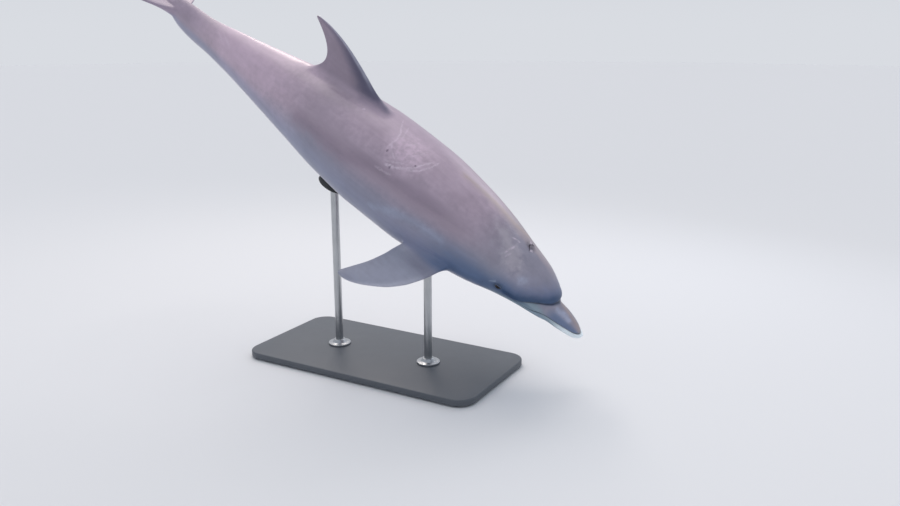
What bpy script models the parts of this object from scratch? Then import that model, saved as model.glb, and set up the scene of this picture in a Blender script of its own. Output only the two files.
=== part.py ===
"""Life-size bottlenose dolphin, diving with a slight bank, on a plain display stand.

Units are metres with +Z up.  The origin is the centre of the underside of the stand's base, and the
dolphin heads along +X with its right side towards -Y.  The body is described straight, by its
distance from the beak tip (s), its left (y) and its up (z), and then bent along a curved spine.
"""

import math

import bmesh
import bpy
import numpy as np
from mathutils import Matrix, Vector
from mathutils.bvhtree import BVHTree

# Pose of the whole animal
SPINE_HEIGHT = 0.82        # height of the spine above the floor at MIDDLE
MIDDLE = 1.0               # distance from the beak tip of the point that stands over the base
DIVE = math.radians(30)    # head down
BANK = math.radians(12)    # right side down

# Bends of the spine: centre, length over which it bends, upward angle and leftward angle, in degrees
BENDS = (
    (0.50, 0.50, -8.0, -9.0),
    (1.15, 0.90, -1.5, 2.3),
    (1.85, 0.70, -10.0, -14.0),
    (2.12, 0.34, 7.0, 0.0),
)
TAIL_TWIST = (1.60, 0.90, math.radians(-2))

# Body: distance from the beak tip, height of the back, depth of the belly, half width, widest level
BODY_LENGTH = 2.425
STATIONS = (
    (0.000, -0.044, -0.062, 0.013, -0.053),
    (0.012, -0.033, -0.073, 0.025, -0.053),
    (0.040, -0.019, -0.082, 0.035, -0.052),
    (0.080, -0.007, -0.087, 0.042, -0.051),
    (0.120, 0.001, -0.089, 0.048, -0.052),
    (0.136, 0.025, -0.090, 0.054, -0.053),
    (0.152, 0.042, -0.091, 0.062, -0.050),
    (0.185, 0.065, -0.093, 0.076, -0.040),
    (0.230, 0.088, -0.097, 0.090, -0.030),
    (0.330, 0.116, -0.118, 0.114, -0.018),
    (0.450, 0.145, -0.153, 0.150, -0.006),
    (0.600, 0.172, -0.180, 0.179, 0.000),
    (0.800, 0.193, -0.202, 0.201, 0.000),
    (1.000, 0.198, -0.204, 0.200, 0.000),
    (1.200, 0.189, -0.189, 0.181, 0.000),
    (1.400, 0.164, -0.159, 0.143, 0.002),
    (1.600, 0.133, -0.125, 0.104, 0.003),
    (1.800, 0.104, -0.095, 0.071, 0.004),
    (2.000, 0.080, -0.074, 0.049, 0.004),
    (2.100, 0.078, -0.071, 0.042, 0.003),
    (2.200, 0.070, -0.064, 0.037, 0.002),
    (2.300, 0.038, -0.033, 0.028, 0.000),
    (2.415, 0.008, -0.008, 0.012, 0.000),
)
KEEL = 0.35                # how much narrower the tail stock is at its upper and lower edges
KEEL_GROWS = (1.45, 2.00)
KEEL_FADES = (2.25, 2.38)
JAW_LEAD = 0.013           # how far the lower jaw reaches past the upper one
JAW_LEAD_FADES = 0.06      # where along the beak the two jaws are level again
MOUTH_LEVEL = -0.050       # height of the mouth line along the beak
AROUND = 32                # facets round the body
RING_COUNTS = ((0.0, 0.012, 2), (0.012, 0.120, 5), (0.120, 0.185, 5), (0.185, 0.450, 7),
               (0.450, 1.400, 15), (1.400, 2.200, 13), (2.200, 2.415, 4))

# Where the body is parted, and the gap left by each cut
BEAK_BASE = 0.130
NECK_FRONT = 0.385
NECK_BACK = 0.500
CHEST_BACK = 0.920
MIDRIFF_BACK = 1.420
LOIN_BACK = 1.720
STOCK_MIDDLE = 2.000
MOUTH_BLOCK_MIDDLE = 0.05  # the block that parts the jaws: its middle along the beak, length, width, height
MOUTH_BLOCK = (0.20, 0.20, 0.10)
GAP = 0.0003
SKIN_GROWTH = 0.0005       # how far a fitted piece stands off the skin that it meets

# Eyes
EYE_PLACE = (0.337, -0.028)
EYE_RADIUS = 0.0150
EYE_PROUD = 0.0030

# Dorsal fin: its edges stand on the line that joins the back at its two ends
FIN_FRONT = 1.000
FIN_BACK = 1.365
FIN_HEIGHT = 0.213
FIN_RAKE = 0.086           # how far the tip reaches behind the base
FIN_THICKNESS = 0.042
FIN_TAPER = 0.86           # share of its thickness that it loses on the way to the tip
FIN_TIP = (FIN_BACK + FIN_RAKE, FIN_HEIGHT)
FIN_LEADING = (            # handles of the leading edge, as distance s and height
    (FIN_FRONT - 0.020, -0.030),
    (FIN_FRONT + 0.120, 0.035),
    (FIN_BACK - 0.095, 0.94 * FIN_HEIGHT),
    FIN_TIP,
)
FIN_TRAILING = (
    (FIN_BACK + 0.090, -0.020),
    (FIN_BACK - 0.062, 0.26 * FIN_HEIGHT),
    (FIN_BACK + 0.010, 0.66 * FIN_HEIGHT),
    (FIN_TIP[0] + 0.004, FIN_TIP[1] - 0.006),
)

# Flippers
FLIPPER_ROOT = (0.520, -0.100)
FLIPPER_ROOT_OUT = 0.86    # how far out the root lies, as a share of the half width a little behind it
FLIPPER_ROOT_AFT = 0.07
FLIPPER_SWEEP = math.radians(33)
FLIPPER_DROOP = math.radians(43)
FLIPPER_TURN = math.radians(-7)
FLIPPER_EDGES = (          # out along the flipper, leading edge, trailing edge
    (-0.035, 0.004, 0.136),
    (0.000, 0.000, 0.146),
    (0.060, -0.008, 0.160),
    (0.130, -0.010, 0.150),
    (0.200, 0.000, 0.133),
    (0.270, 0.027, 0.126),
    (0.330, 0.061, 0.128),
    (0.365, 0.092, 0.129),
    (0.380, 0.115, 0.127),
)
FLIPPER_THICKNESS = 0.034
FLIPPER_TAPER = 0.74
FLIPPER_CROWDING = 1.5     # how much closer the rings of the blade lie towards its tip

# Flukes
FLUKE_EDGES = (            # out from the middle, leading edge, trailing edge, as distances s
    (0.000, 2.212, 2.450),
    (0.020, 2.224, 2.461),
    (0.045, 2.248, 2.467),
    (0.080, 2.285, 2.468),
    (0.130, 2.337, 2.466),
    (0.190, 2.398, 2.474),
    (0.240, 2.449, 2.491),
    (0.272, 2.487, 2.507),
    (0.285, 2.503, 2.513),
)
FLUKE_THICKNESS = 0.026
FLUKE_TAPER = 0.80
FLUKE_CROWDING = 1.35
FLUKE_LIFT = 0.045          # how far the fluke tips curve up
NOTCH_GAP = 0.0006
BLADE_ROWS = 15
BLADE_AROUND = 16

# Stand
BASE_SIZE = (1.04, 0.52, 0.030)
BASE_CORNER = 0.070
BASE_ROUNDING = 0.005
ROD_RADIUS = 0.016
ROD_PLACES = {"front": 0.76, "rear": 1.26}    # distances from the beak tip of the points held
ROD_DEPTH = 0.060          # how far a rod runs up inside the body
SOCKET_RADIUS = 0.046
SOCKET_HEIGHT = 0.022
SOCKET_ROUNDING = 0.004
SADDLE_RADIUS = 0.058
SADDLE_BELOW = 0.022
SADDLE_WRAP = 0.008


# ---------------------------------------------------------------- curves and placing

def curve_through(knots, values):
    """A smooth curve through the values that never overshoots between two of them."""
    knots = np.array(knots, float)
    values = np.array(values, float)
    steps = np.diff(knots)
    rates = np.diff(values) / steps
    slopes = np.zeros_like(values)
    slopes[0] = rates[0]
    slopes[-1] = rates[-1]
    for i in range(1, len(knots) - 1):
        if rates[i - 1] * rates[i] > 0:
            before = 2 * steps[i] + steps[i - 1]
            after = steps[i] + 2 * steps[i - 1]
            slopes[i] = (before + after) / (before / rates[i - 1] + after / rates[i])

    def value_at(x):
        x = min(max(x, knots[0]), knots[-1])
        i = min(int(np.searchsorted(knots, x, side="right")) - 1, len(steps) - 1)
        t = (x - knots[i]) / steps[i]
        rise = t * t * (3 - 2 * t)
        lean = t * (1 - t) * (1 - t) * slopes[i] - t * t * (1 - t) * slopes[i + 1]
        return float(values[i] * (1 - rise) + values[i + 1] * rise + steps[i] * lean)

    return value_at


def smooth_step(x, start, end):
    t = min(max((x - start) / (end - start), 0.0), 1.0)
    return t * t * (3 - 2 * t)


def bezier(points, t):
    a, b, c, d = (np.array(point) for point in points)
    u = 1 - t
    return u ** 3 * a + 3 * u * u * t * b + 3 * u * t * t * c + t ** 3 * d


STATION = [list(column) for column in zip(*STATIONS)]
back_height = curve_through(STATION[0], STATION[1])
belly_depth = curve_through(STATION[0], STATION[2])
half_width = curve_through(STATION[0], STATION[3])
widest_level = curve_through(STATION[0], STATION[4])


def spine_angles(s):
    """Upward, leftward and twisting angle of the spine at s, before the whole is set to MIDDLE."""
    up = 0.0
    left = 0.0
    for centre, length, up_angle, left_angle in BENDS:
        share = smooth_step(s, centre - length / 2, centre + length / 2)
        up += share * math.radians(up_angle)
        left += share * math.radians(left_angle)
    centre, length, angle = TAIL_TWIST
    return up, left, angle * smooth_step(s, centre - length / 2, centre + length / 2)


def trace_spine(reach=2.6, step=0.005, start=-0.05):
    """Points along the spine and the frame at each, as rows forward, left and up."""
    distances = np.arange(start, reach, step)
    angles = np.array([spine_angles(s) for s in distances]) - np.array(spine_angles(MIDDLE))
    up, left, twist = angles.T
    forward = np.stack([np.cos(up) * np.cos(left), np.cos(up) * np.sin(left), -np.sin(up)], 1)
    points = np.zeros((len(distances), 3))
    points[1:] = np.cumsum(-(forward[1:] + forward[:-1]) / 2 * step, axis=0)
    points -= np.array([np.interp(MIDDLE, distances, points[:, k]) for k in range(3)])
    side = np.cross((0.0, 0.0, 1.0), forward)
    side /= np.linalg.norm(side, axis=1)[:, None]
    top = np.cross(forward, side)
    cosine = np.cos(twist)[:, None]
    sine = np.sin(twist)[:, None]
    return distances, points, forward, side * cosine + top * sine, top * cosine - side * sine


SPINE = trace_spine()
STANCE = (Matrix.Translation((0, 0, SPINE_HEIGHT)) @ Matrix.Rotation(DIVE, 4, "Y")
          @ Matrix.Rotation(BANK, 4, "X"))


def spine_frame(s):
    """Place, forward, left and up of the spine at s, in the world."""
    distances, *tracks = SPINE
    place, forward, left, up = (
        Vector([float(np.interp(s, distances, track[:, k])) for k in range(3)]) for track in tracks)
    turn = STANCE.to_3x3()
    directions = [(turn @ direction).normalized() for direction in (forward, left, up)]
    return STANCE @ place, *directions


def posed(s, y, z):
    """World place of a point given on the straight body."""
    place, _, left, up = spine_frame(s)
    return place + left * y + up * z


def section(s, turn, growth=0.0):
    """Left and up of the skin at s, where turn runs from 0 at the back over the left side."""
    level = widest_level(s)
    keel = 1 + KEEL * smooth_step(s, *KEEL_GROWS) * (1 - smooth_step(s, *KEEL_FADES))
    sine = math.sin(turn)
    cosine = math.cos(turn)
    y = (half_width(s) + growth) * math.copysign(abs(sine) ** keel, sine)
    reach = back_height(s) + growth - level if cosine > 0 else level - belly_depth(s) + growth
    return y, level + reach * cosine


# ---------------------------------------------------------------- making objects

def clear_scene():
    for thing in list(bpy.data.objects):
        bpy.data.objects.remove(thing, do_unlink=True)


def new_collection(name):
    collection = bpy.data.collections.new(name)
    bpy.context.scene.collection.children.link(collection)
    return collection


def finish_material(name, colour, roughness, metallic=0.0):
    material = bpy.data.materials.new(name)
    material.use_nodes = True
    shader = material.node_tree.nodes["Principled BSDF"]
    shader.inputs["Base Color"].default_value = (*colour, 1.0)
    shader.inputs["Roughness"].default_value = roughness
    shader.inputs["Metallic"].default_value = metallic
    return material


def keep_piece(bm, name, material, collection=None):
    """Turns a bmesh into a named object with its material, shaded smooth but for sharp edges."""
    bmesh.ops.recalc_face_normals(bm, faces=bm.faces)
    if bm.calc_volume(signed=True) < 0:
        bmesh.ops.reverse_faces(bm, faces=bm.faces)
    mesh = bpy.data.meshes.new(name)
    bm.to_mesh(mesh)
    bm.free()
    mesh.shade_smooth()
    mesh.set_sharp_from_angle(angle=math.radians(40))
    piece = bpy.data.objects.new(name, mesh)
    (collection or PARTS).objects.link(piece)
    if material:
        mesh.materials.append(material)
    return piece


def keep_cutter(bm, name):
    cutter = keep_piece(bm, name, None, CUTTERS)
    cutter.hide_render = True
    cutter.display_type = "WIRE"
    return cutter


def cut_away(piece, cutter):
    boolean = piece.modifiers.new("cut by " + cutter.name, "BOOLEAN")
    boolean.operation = "DIFFERENCE"
    boolean.solver = "EXACT"
    boolean.object = cutter


def lofted(around, rows, place):
    """A closed skin whose rings are the latitudes of a ball, each vertex moved to place(row, turn).

    Row 0 and the last row are the two poles, which close the ends.
    """
    bm = bmesh.new()
    bmesh.ops.create_uvsphere(bm, u_segments=around, v_segments=rows, radius=1.0)
    for vertex in bm.verts:
        row = round(math.acos(min(max(vertex.co.z, -1.0), 1.0)) / math.pi * rows)
        turn = math.atan2(vertex.co.y, vertex.co.x)
        vertex.co = place(row, turn)
    return bm


def cylinder(radius, bottom, top, sides=28):
    """A round bar between two points."""
    bm = bmesh.new()
    axis = top - bottom
    bmesh.ops.create_cone(bm, cap_ends=True, segments=sides, radius1=radius, radius2=radius,
                          depth=axis.length)
    turn = axis.to_track_quat("Z", "Y").to_matrix().to_4x4()
    bmesh.ops.transform(bm, matrix=Matrix.Translation((top + bottom) / 2) @ turn, verts=bm.verts)
    return bm


# ---------------------------------------------------------------- body

def ring_places():
    places = []
    for start, end, count in RING_COUNTS:
        places += [start + (end - start) * k / count for k in range(count)]
    return places + [RING_COUNTS[-1][1]]


def whole_body(growth=0.0):
    """The skin from the beak tip to the end of the tail stock, without fins."""
    rings = ring_places()
    last = len(rings) + 1

    def place(row, turn):
        if row == 0:
            return posed(-JAW_LEAD * 0.6 - growth, 0, MOUTH_LEVEL)
        if row == last:
            return posed(BODY_LENGTH + growth, 0, 0)
        s = rings[row - 1]
        y, z = section(s, turn, growth)
        below = smooth_step(MOUTH_LEVEL - z, -0.002, 0.006)
        lead = JAW_LEAD * below * (1 - smooth_step(s, 0.0, JAW_LEAD_FADES))
        return posed(s - lead - 0.5 * growth * (row == 1), y, z)

    return lofted(AROUND, last, place)


def parted(bm, s, keep_front):
    """Cuts the body square to its spine at s, keeps one side and closes the cut."""
    place, forward, _, _ = spine_frame(s)
    away = GAP / 2 if keep_front else -GAP / 2
    result = bmesh.ops.bisect_plane(
        bm, geom=bm.verts[:] + bm.edges[:] + bm.faces[:], dist=1e-6,
        plane_co=place + forward * away, plane_no=forward,
        clear_inner=keep_front, clear_outer=not keep_front)
    rim = [item for item in result["geom_cut"] if isinstance(item, bmesh.types.BMEdge)]
    bmesh.ops.holes_fill(bm, edges=rim, sides=0)


def body_length(name, start, end, material):
    """One length of the body between two cuts."""
    bm = whole_body()
    if start is not None:
        parted(bm, start, keep_front=False)
    if end is not None:
        parted(bm, end, keep_front=True)
    return keep_piece(bm, name, material)


def mouth_cutter():
    """A block below the mouth line of the beak, whose top is the line itself."""
    length, width, height = MOUTH_BLOCK
    bm = bmesh.new()
    bmesh.ops.create_cube(bm, size=1.0)
    along_edges = [edge for edge in bm.edges if abs(edge.verts[0].co.x - edge.verts[1].co.x) > 0.5]
    bmesh.ops.subdivide_edges(bm, edges=along_edges, cuts=5)
    for vertex in bm.verts:
        along, across, up = vertex.co
        s = MOUTH_BLOCK_MIDDLE + length * along
        vertex.co = posed(s, width * across, MOUTH_LEVEL - height / 2 + height * up)
    return bm


def make_beak(skin):
    """Upper and lower jaw, parted along the mouth."""
    upper = body_length("beak_upper", None, BEAK_BASE, skin)
    lower = body_length("beak_lower", None, BEAK_BASE, skin)
    below = keep_cutter(mouth_cutter(), "below the mouth")
    cut_away(upper, below)
    above_mesh = mouth_cutter()
    _, _, _, up = spine_frame(MOUTH_BLOCK_MIDDLE)
    bmesh.ops.translate(above_mesh, verts=above_mesh.verts, vec=up * (MOUTH_BLOCK[2] - GAP))
    cut_away(lower, keep_cutter(above_mesh, "above the mouth"))


def eye_centre(side):
    """Centre of the eyeball, sunk below the skin so that it stands EYE_PROUD of it."""
    s, z = EYE_PLACE
    level = widest_level(s)
    drop = (level - z) / (level - belly_depth(s))
    y = half_width(s) * math.sqrt(1 - drop * drop)
    return posed(s, side * (y - EYE_RADIUS + EYE_PROUD), z)


def ball(radius, centre, segments):
    bm = bmesh.new()
    bmesh.ops.create_uvsphere(bm, u_segments=segments, v_segments=segments // 2, radius=radius,
                              matrix=Matrix.Translation(centre))
    return bm


def make_eyes(head, material):
    for name, side in (("left", 1), ("right", -1)):
        keep_piece(ball(EYE_RADIUS, eye_centre(side), 16), "eye_" + name, material)
        socket = keep_cutter(ball(EYE_RADIUS + 2 * GAP, eye_centre(side), 16), name + " eye socket")
        cut_away(head, socket)


# ---------------------------------------------------------------- fins

def wing_profile(c):
    """Half thickness of a fin's section at a chord fraction c, for a full thickness of 1."""
    return 5 * (0.2969 * math.sqrt(c) - 0.126 * c - 0.3516 * c ** 2 + 0.2843 * c ** 3 - 0.1036 * c ** 4)


def blade(rows, around, edges_at, thickness_at, thin_edge=0.0012):
    """A fin: each ring runs round a wing section between its leading and its trailing edge."""
    def place(row, turn):
        t = min(max((row - 1) / (rows - 2), 0.0), 1.0)
        leading, trailing, across = edges_at(t)
        if row in (0, rows):
            return leading * 0.5 + trailing * 0.5
        c = (1 - math.cos(turn)) / 2
        half = wing_profile(c) * thickness_at(t) + thin_edge / 2 * math.sin(turn) ** 2
        return leading + (trailing - leading) * c + across * (half * math.copysign(1, turn))

    return lofted(around, rows, place)


def make_dorsal_fin(skin, body_skin):
    base_front = back_height(FIN_FRONT)
    base_back = back_height(FIN_BACK)

    def on_back(point):
        s, height = point
        share = (s - FIN_FRONT) / (FIN_BACK - FIN_FRONT)
        return posed(s, 0, base_front + (base_back - base_front) * share + height)

    def edges_at(t):
        _, _, left, _ = spine_frame(FIN_BACK)
        return on_back(bezier(FIN_LEADING, t)), on_back(bezier(FIN_TRAILING, t)), left

    bm = blade(BLADE_ROWS, BLADE_AROUND, edges_at, lambda t: FIN_THICKNESS * (1 - FIN_TAPER * t))
    cut_away(keep_piece(bm, "dorsal_fin", skin), body_skin)


def make_flipper(name, side, skin, body_skin):
    s_root, z_root = FLIPPER_ROOT
    outs, leads, trails = zip(*FLIPPER_EDGES)
    leading_edge = curve_through(outs, leads)
    trailing_edge = curve_through(outs, trails)
    out = Vector((math.sin(FLIPPER_SWEEP), -math.cos(FLIPPER_SWEEP) * math.cos(FLIPPER_DROOP),
                  -math.cos(FLIPPER_SWEEP) * math.sin(FLIPPER_DROOP)))
    aft = (Vector((1, 0, 0)) - out * out.x).normalized()
    aft = Matrix.Rotation(FLIPPER_TURN, 3, out) @ aft
    root = Vector((s_root, -FLIPPER_ROOT_OUT * half_width(s_root + FLIPPER_ROOT_AFT), z_root))

    def flipper_point(reach, chord, lift=0.0):
        flat = root + out * reach + aft * chord + out.cross(aft) * lift
        return posed(flat.x, -side * flat.y, flat.z)

    def edges_at(t):
        reach = outs[0] + (outs[-1] - outs[0]) * (1 - (1 - t) ** FLIPPER_CROWDING)
        leading = flipper_point(reach, leading_edge(reach))
        trailing = flipper_point(reach, trailing_edge(reach))
        across = (flipper_point(reach, 0.05, 0.01) - flipper_point(reach, 0.05)).normalized()
        return leading, trailing, across

    bm = blade(BLADE_ROWS, BLADE_AROUND, edges_at, lambda t: FLIPPER_THICKNESS * (1 - FLIPPER_TAPER * t))
    cut_away(keep_piece(bm, "flipper_" + name, skin), body_skin)


def make_fluke(name, side, skin, body_skin):
    outs, leads, trails = zip(*FLUKE_EDGES)
    leading_edge = curve_through(outs, leads)
    trailing_edge = curve_through(outs, trails)

    def edges_at(t):
        reach = NOTCH_GAP / 2 + (outs[-1] - NOTCH_GAP / 2) * (1 - (1 - t) ** FLUKE_CROWDING)
        lift = FLUKE_LIFT * (reach / outs[-1]) ** 2
        _, _, _, up = spine_frame(leads[0] + 0.1)
        leading = posed(leading_edge(reach), side * reach, lift)
        return leading, posed(trailing_edge(reach), side * reach, lift), up

    bm = blade(BLADE_ROWS, BLADE_AROUND, edges_at, lambda t: FLUKE_THICKNESS * (1 - FLUKE_TAPER * t))
    cut_away(keep_piece(bm, "fluke_" + name, skin), body_skin)


# ---------------------------------------------------------------- stand

def belly_point(s):
    """Where the upright line through the spine at s leaves the belly, and the skin's outward normal."""
    place, _, _, _ = spine_frame(s)
    skin = whole_body()
    bmesh.ops.recalc_face_normals(skin, faces=skin.faces)
    below = Vector((place.x, place.y, 0.0))
    point, normal, _, _ = BVHTree.FromBMesh(skin).ray_cast(below, Vector((0, 0, 1)))
    skin.free()
    if normal.z > 0:
        normal = -normal
    return point, normal


def make_base(material):
    height = BASE_SIZE[2]
    bm = bmesh.new()
    slab = Matrix.Translation((0, 0, height / 2)) @ Matrix.Diagonal((*BASE_SIZE, 1))
    bmesh.ops.create_cube(bm, size=1.0, matrix=slab)
    upright = [edge for edge in bm.edges if abs(edge.verts[0].co.z - edge.verts[1].co.z) > height / 2]
    bmesh.ops.bevel(bm, geom=upright, offset=BASE_CORNER, segments=8, profile=0.5, affect="EDGES",
                    material=-1)
    rim = [edge for edge in bm.edges if min(vertex.co.z for vertex in edge.verts) > height - 1e-6]
    bmesh.ops.bevel(bm, geom=rim, offset=BASE_ROUNDING, segments=3, profile=0.5, affect="EDGES",
                    material=-1)
    keep_piece(bm, "stand_base", material)


def make_support(name, s, steel, rubber, body_skin, held):
    """A rod from the base up into the body, its foot socket and the saddle that it carries."""
    point, normal = belly_point(s)
    foot = Vector((point.x, point.y, BASE_SIZE[2] + GAP))
    head = Vector((point.x, point.y, point.z + ROD_DEPTH))
    keep_piece(cylinder(ROD_RADIUS, foot, head), "stand_rod_" + name, steel)
    up = Vector((0, 0, 1))
    rod_hole = keep_cutter(cylinder(ROD_RADIUS + GAP, foot - up * 0.01, head + up * GAP),
                           name + " rod hole")
    cut_away(held, rod_hole)
    socket = cylinder(SOCKET_RADIUS, foot, foot + up * SOCKET_HEIGHT)
    socket_top = foot.z + SOCKET_HEIGHT - 1e-5
    rim = [edge for edge in socket.edges if min(vertex.co.z for vertex in edge.verts) > socket_top]
    bmesh.ops.bevel(socket, geom=rim, offset=SOCKET_ROUNDING, segments=2, profile=0.5, affect="EDGES",
                    material=-1)
    cut_away(keep_piece(socket, "stand_socket_" + name, steel), rod_hole)
    saddle = cylinder(SADDLE_RADIUS, point + normal * SADDLE_BELOW, point - normal * SADDLE_WRAP, sides=48)
    saddle_piece = keep_piece(saddle, "stand_saddle_" + name, rubber)
    cut_away(saddle_piece, body_skin)
    cut_away(saddle_piece, rod_hole)


# ---------------------------------------------------------------- the whole object

clear_scene()
PARTS = new_collection("bottlenose dolphin")
CUTTERS = new_collection("cutters")


def build():
    back_skin = finish_material("skin of the back", (0.30, 0.26, 0.30), 0.35)
    fin_skin = finish_material("skin of the fins", (0.22, 0.21, 0.25), 0.35)
    eye = finish_material("eye", (0.01, 0.01, 0.012), 0.08)
    painted = finish_material("painted base", (0.10, 0.11, 0.12), 0.5)
    steel = finish_material("brushed steel", (0.55, 0.56, 0.58), 0.3, 1.0)
    rubber = finish_material("saddle rubber", (0.04, 0.04, 0.045), 0.7)

    make_beak(back_skin)
    head = body_length("head", BEAK_BASE, NECK_FRONT, back_skin)
    make_eyes(head, eye)
    body_length("neck", NECK_FRONT, NECK_BACK, back_skin)
    chest = body_length("chest", NECK_BACK, CHEST_BACK, back_skin)
    midriff = body_length("midriff", CHEST_BACK, MIDRIFF_BACK, back_skin)
    body_length("loin", MIDRIFF_BACK, LOIN_BACK, back_skin)
    body_length("tail_stock_front", LOIN_BACK, STOCK_MIDDLE, back_skin)
    body_length("tail_stock_rear", STOCK_MIDDLE, None, back_skin)

    body_skin = keep_cutter(whole_body(SKIN_GROWTH), "grown skin")
    make_dorsal_fin(fin_skin, body_skin)
    for name, side in (("left", 1), ("right", -1)):
        make_flipper(name, side, fin_skin, body_skin)
        make_fluke(name, side, fin_skin, body_skin)

    make_base(painted)
    for (name, s), held in zip(ROD_PLACES.items(), (chest, midriff)):
        make_support(name, s, steel, rubber, body_skin, held)


build()
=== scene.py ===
import math

import bmesh
import bpy
import numpy as np
from mathutils import Matrix, Vector
from mathutils.bvhtree import BVHTree


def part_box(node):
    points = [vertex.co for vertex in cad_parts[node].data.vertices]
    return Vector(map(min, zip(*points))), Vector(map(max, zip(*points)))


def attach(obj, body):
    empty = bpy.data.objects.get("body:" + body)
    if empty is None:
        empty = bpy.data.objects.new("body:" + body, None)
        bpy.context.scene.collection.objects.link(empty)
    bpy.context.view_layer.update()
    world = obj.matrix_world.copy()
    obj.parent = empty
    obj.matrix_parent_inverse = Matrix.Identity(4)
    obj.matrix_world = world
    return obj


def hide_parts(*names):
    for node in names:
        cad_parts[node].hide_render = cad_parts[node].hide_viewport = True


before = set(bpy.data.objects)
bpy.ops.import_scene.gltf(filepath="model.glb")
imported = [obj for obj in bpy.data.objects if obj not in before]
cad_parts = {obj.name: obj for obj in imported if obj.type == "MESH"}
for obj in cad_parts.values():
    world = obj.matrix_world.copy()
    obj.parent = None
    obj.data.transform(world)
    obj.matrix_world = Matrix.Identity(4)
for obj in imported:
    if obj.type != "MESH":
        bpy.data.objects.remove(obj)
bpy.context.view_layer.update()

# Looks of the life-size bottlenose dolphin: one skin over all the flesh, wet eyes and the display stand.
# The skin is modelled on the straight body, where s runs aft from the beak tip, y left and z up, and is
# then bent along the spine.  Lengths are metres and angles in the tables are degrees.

# Pose of the spine, as in the solids
SPINE_HEIGHT = 0.82
MIDDLE = 1.0
DIVE = math.radians(30)
BANK = math.radians(12)
BENDS = (                  # centre, length over which it bends, upward angle, leftward angle
    (0.50, 0.50, -8.0, -9.0),
    (1.15, 0.90, -1.5, 2.3),
    (1.85, 0.70, -10.0, -14.0),
    (2.12, 0.34, 7.0, 0.0),
)
TAIL_TWIST = (1.60, 0.90, math.radians(-2))

# Body: distance from the beak tip, height of the back, depth of the belly, half width, widest level
STATIONS = (
    (0.000, -0.044, -0.062, 0.013, -0.053),
    (0.012, -0.033, -0.073, 0.025, -0.053),
    (0.040, -0.019, -0.082, 0.035, -0.052),
    (0.080, -0.007, -0.087, 0.042, -0.051),
    (0.120, 0.001, -0.089, 0.048, -0.052),
    (0.136, 0.025, -0.090, 0.054, -0.053),
    (0.152, 0.042, -0.091, 0.062, -0.050),
    (0.185, 0.065, -0.093, 0.076, -0.040),
    (0.230, 0.088, -0.097, 0.090, -0.030),
    (0.330, 0.116, -0.118, 0.114, -0.018),
    (0.450, 0.145, -0.153, 0.150, -0.006),
    (0.600, 0.172, -0.180, 0.179, 0.000),
    (0.800, 0.193, -0.202, 0.201, 0.000),
    (1.000, 0.198, -0.204, 0.200, 0.000),
    (1.200, 0.189, -0.189, 0.181, 0.000),
    (1.400, 0.164, -0.159, 0.143, 0.002),
    (1.600, 0.133, -0.125, 0.104, 0.003),
    (1.800, 0.104, -0.095, 0.071, 0.004),
    (2.000, 0.080, -0.074, 0.049, 0.004),
    (2.100, 0.078, -0.071, 0.042, 0.003),
    (2.200, 0.070, -0.064, 0.037, 0.002),
    (2.300, 0.038, -0.033, 0.028, 0.000),
    (2.415, 0.008, -0.008, 0.012, 0.000),
)
KEEL = 0.35                # how much narrower the tail stock is at its upper and lower edges
KEEL_GROWS = (1.45, 2.00)
KEEL_FADES = (2.25, 2.38)
STOCK_THINS = (2.24, 2.40) # where the stock runs out between the flukes
STOCK_THINNING = 0.30
NOSE = -0.006              # where the tip of the upper jaw is closed
TAIL_END = 2.425
TIP_ROUND = 0.028          # how far back the rounding of the tip reaches
TIP_BLUNTNESS = 2.3
JAW_LEAD = 0.013           # how far the lower jaw reaches past the upper one
JAW_LEAD_FADES = 0.06
JAW_FLARE = 0.16           # how much wider than its station the lower jaw is at its front
BEAK_NARROWING = 0.05      # and how much narrower the upper one
FLARE_FADES = (0.02, 0.13)
CHEEK_HOLLOW = 0.020       # how far the cheek's outline is drawn back beside the melon
AROUND = 96                # facets round the body
RING_COUNTS = ((-0.0057, 0.0, 3), (0.0, 0.012, 4), (0.012, 0.12, 14), (0.12, 0.185, 10), (0.185, 0.45, 31),
               (0.45, 1.40, 74), (1.40, 2.20, 60), (2.20, 2.415, 26))

# Mouth, melon and eyes
MOUTH_LINE = ((0.0, -0.047), (0.06, -0.048), (0.13, -0.050), (0.19, -0.052), (0.24, -0.051), (0.27, -0.046),
              (0.295, -0.039))
MOUTH_CORNER = 0.293
MOUTH_DEPTH = 0.0030
LIP_HEIGHT = 0.0011
DIMPLE_DEPTH = 0.0016      # at the corner of the mouth
MELON_CREASE = ((0, 0.1265), (15, 0.128), (30, 0.1325), (45, 0.141), (57, 0.155), (75, 0.187), (85, 0.210),
                (97, 0.236), (113, 0.270))
CREASE_DEPTH = ((0, 0.0035), (40, 0.0050), (75, 0.0060), (95, 0.0040), (113, 0.0))
LIP_EDGES = (-0.0050, -0.0024, -0.0010, 0.0, 0.0010, 0.0024, 0.0050)   # above the mouth line
EYE_PLACE = (0.337, -0.028)
EYE_RADIUS = 0.0150
EYE_PROUD = 0.0030
EYE_OPENING = (0.0125, 0.0056)     # half length and half height between the lids
EYE_OPENING_LEAN = 0.0012          # how much higher the rear corner is than the middle
LID_REACH = (0.022, 0.033)         # from the eye's middle, where the lids melt into the cheek
LID_THICKNESS = 0.0019
LID_BLEND = 0.0016
LID_FOLDS = (                      # lid, distance from the opening, half width, height
    ("upper", 0.0060, 0.0011, -0.0011),
    ("lower", 0.0050, 0.0011, -0.0006),
    ("upper", 0.0085, 0.0014, 0.0004),
    ("upper", 0.0112, 0.0013, -0.0004),
    ("lower", 0.0090, 0.0013, -0.0003),
    ("both", 0.0155, 0.0018, -0.0002),
)
BLOWHOLE = (0.333, 0.003)          # s and y of its middle
BLOWHOLE_HALF = 0.021
BLOWHOLE_HEIGHTS = (-0.0052, 0.0016, 0.0018, -0.0012)      # of its slit, lips, plug and dish
EAR = (0.388, -0.046)
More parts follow.
